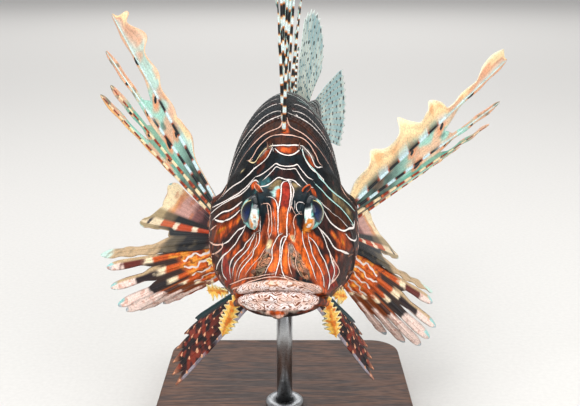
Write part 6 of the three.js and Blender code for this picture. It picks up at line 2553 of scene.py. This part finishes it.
@dataclass(frozen=True)
class Stand:
    """The wooden base, the steel collar and the rod that holds the fish."""

    round: float = 18.0
    edge: float = 1.4
    rod: float = 4.5
    rod_sunk: float = 1.5
    bore: float = 4.8
    collar: float = 11.0
    collar_low: float = 12.3
    collar_high: float = 17.3
    chamfer: float = 1.2

    @staticmethod
    def piece(name: str, mesh: bmesh.types.BMesh) -> bpy.types.Object:
        """Makes an object of a mesh in millimetres of the part's frame."""
        bmesh.ops.recalc_face_normals(mesh, faces=mesh.faces)
        bmesh.ops.scale(mesh, vec=(MM, MM, MM), verts=mesh.verts)
        made = bpy.data.meshes.new(name)
        mesh.to_mesh(made)
        mesh.free()
        return add(name, made)

    def base(self) -> bpy.types.Object:
        """The base: a board with round corners and a soft upper edge."""
        low, high = (Vector(corner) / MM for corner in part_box("stand_base"))
        size, middle = high - low, (high + low) / 2
        board = bmesh.new()
        bmesh.ops.create_cube(board, size=1.0)
        bmesh.ops.scale(board, vec=size, verts=board.verts)
        bmesh.ops.translate(board, vec=middle, verts=board.verts)
        upright = [e for e in board.edges if abs(e.verts[0].co.z - e.verts[1].co.z) > 1]
        bevel = {"profile": 0.5, "affect": "EDGES", "material": -1}
        bmesh.ops.bevel(board, geom=upright, offset=self.round, segments=12, **bevel)
        top = [e for e in board.edges if all(v.co.z > high.z - 0.01 for v in e.verts) and len(e.link_faces) == 2]
        bmesh.ops.bevel(board, geom=top, offset=self.edge, segments=4, **bevel)
        return self.piece("base_board", board)

    def turned(self, name: str, outline: Sequence[Pair]) -> bpy.types.Object:
        """A round metal part from its outline.

        Args:
            name: The piece's name.
            outline: Pairs of radius and height in millimetres.

        Returns:
            The piece.
        """
        lathe = bmesh.new()
        row = [lathe.verts.new((radius, 0.0, height)) for radius, height in outline]
        edges = [lathe.edges.new(pair) for pair in zip(row, row[1:])]
        bmesh.ops.spin(
            lathe, geom=row + edges, cent=(0, 0, 0), axis=(0, 0, 1), angle=2 * math.pi, steps=64, use_merge=True
        )
        bmesh.ops.remove_doubles(lathe, verts=lathe.verts, dist=1e-4)
        return self.piece(name, lathe)

    def build(self) -> None:
        """Makes the three pieces of the stand."""
        foot, top = (corner[2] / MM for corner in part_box("stand_rod"))
        dress(self.base(), Walnut("oiled walnut"), "base_wood", "stand_base")
        low, high, wide, bite, bore = self.collar_low, self.collar_high, self.collar, self.chamfer, self.bore
        collar = [(bore, low), (wide, low), (wide, high - bite), (wide - bite, high), (bore, high)]
        steel = Grained("brushed steel", "9a9c9e", "c4c6c8", 1.2, 0.3, (1.0, 1.0, 18.0), 1.0)
        dress(self.turned("collar", collar + collar[:1]), steel, "rod_steel", "stand_collar")
        top += self.rod_sunk
        rod = [(0.0, foot), (self.rod, foot), (self.rod, top), (0.0, top)]
        dress(self.turned("rod", rod), steel, "rod_steel", "stand_rod")


PECTORALS = (
    PectoralFin(
        1, "left",
        Profile((0, 148), (2, 126), (3, 108), (4, 56), (5, 90), (6, 92), (7, 84), (8, 90), (10, 86), (12, 65)),
        Profile((0, 45), (2, 44), (3, 48), (4, 71), (5, 60), (6, 36), (7, 27), (8, 20), (10, 16), (12, 25)),
        Profile((0, 19), (1, 11), (3, 5), (4, -18), (5, -34), (6, -40), (7, -41.5), (8, -46), (10, -51.5), (12, -56)),
        Profile(
            (0, 2), (0.05, 7), (0.11, 15), (0.157, 18), (0.2, 16.5), (0.244, 13.5), (0.3, 19), (0.352, 21), (0.4, 15),
            (0.43, 12), (0.457, 16.5), (0.53, 15), (0.57, 11), (0.594, 5), (0.7, 4.5), (0.777, 5.5), (0.8, 9),
            (0.86, 8.5), (0.93, 12), (0.965, 10.5), (0.985, 3), (1, 0.6),
        ),
        PlumePaint("fbd9a4", "fff0cc"),
    ),
    PectoralFin(
        -1, "right",
        Profile(
            (0, 142), (1, 132), (2, 114), (3, 120), (4, 88), (5, 90), (6, 91), (7, 77), (9, 73), (11, 62), (12, 48),
        ),
        Profile((0, 56), (3, 48), (4, 64), (5, 50), (6, 27), (7, 16), (8, 9), (10, 1), (12, 4)),
        Profile((0, 32), (1, 26), (3, 20), (4, -8), (5, -17.5), (6, -20.5), (7, -20), (9, -29), (12, -30)),
        Profile(
            (0, 1), (0.16, 1.5), (0.24, 3.5), (0.32, 7.5), (0.37, 8.5), (0.41, 5.5), (0.55, 7), (0.7, 9.5), (0.8, 13),
            (0.86, 10), (0.9, 8), (0.925, 10.5), (0.95, 9.5), (0.965, 3.5), (1, 0.6),
        ),
        PlumePaint("c2e0d4", "f6c8a0"),
    ),
)

FLAPS = (
    Flap("chin_flap_left", (20, 24, -8), (26, 31, -39), (1, 0.25, 0.1), 13, 9),
    Flap("chin_flap_right", (-20, 24, -8), (-29, 31, -38), (1, -0.25, 0.1), 13, 9),
    Flap("cheek_flap_left", (24, 36, -17), (31, 42, -23), (-0.5, 0, 1), 13, 5),
    Flap("cheek_flap_right", (-26, 36, -16), (-37, 42, -19), (-0.3, 0, 1), 13, 5),
    Flap("gill_flap_left", (28.5, 70, -29), (35, 76, -32), (0, 0.3, 1), 6, 4),
    Flap("gill_flap_right", (-32.5, 70, -22), (-40.5, 75, -21), (0, 0.3, 1), 6, 4),
    Flap(
        "brow_flap_left", (9, 41, 33), (12.6, 43, 37.4), (1, 0.2, -0.6), 4.2, 0,
        LeafPaint("4a1a14", "12292e", "d8602c"),
    ),
    Flap(
        "brow_flap_right", (-9, 41, 33), (-12.4, 43, 38), (-1, 0.2, -0.6), 4.2, 0,
        LeafPaint("d8642c", "7a2c14", "efe4d4"),
    ),
)

FINS = (
    DorsalSpines(
        name="dorsal_spine_row", node="dorsal_spines", count=13, start=78, end=180, reach=(46, 88, 34),
        lean=(3, 19, 30), rows=120,
    ),
    MiddleFin(
        name="soft_dorsal", node="soft_dorsal_fin", count=11, start=186, end=223, reach=(54, 69, 41), lean=(31, 44, 60)
    ),
    MiddleFin(
        name="anal_fan", node="anal_fin", count=9, start=172, end=219, reach=(26, 50, 28), lean=(28, 44, 64), up=-1
    ),
    TailFin(name="tail_fin_fan", node="tail_fin", count=12, bar=0.55, paint=ClearPaint(70.0, 4.0)),
    PelvicFin(
        name="left_pelvic", node="pelvic_fin_left", side=1, reach=(82, 70, 54), out=(31, 34, 34), back=(7, 11, 19)
    ),
    PelvicFin(
        name="right_pelvic", node="pelvic_fin_right", side=-1, reach=(91, 80, 58), out=(36, 42, 45), back=(6, 9, 17)
    ),
)


def main() -> None:
    """Builds every sub-assembly in order."""
    logging.basicConfig(level=logging.INFO, format="%(name)s: %(message)s")
    for group in (Studio(), Skin(), Eyeballs(), Thorns(), Stand(), *PECTORALS, *FINS, *FLAPS):
        group.build()
    boxes = {"cad": CAD_BOX, "visual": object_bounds()}
    {name: [list(corner) for corner in box] for name, box in boxes.items()}


if __name__ == "__main__":
    main()
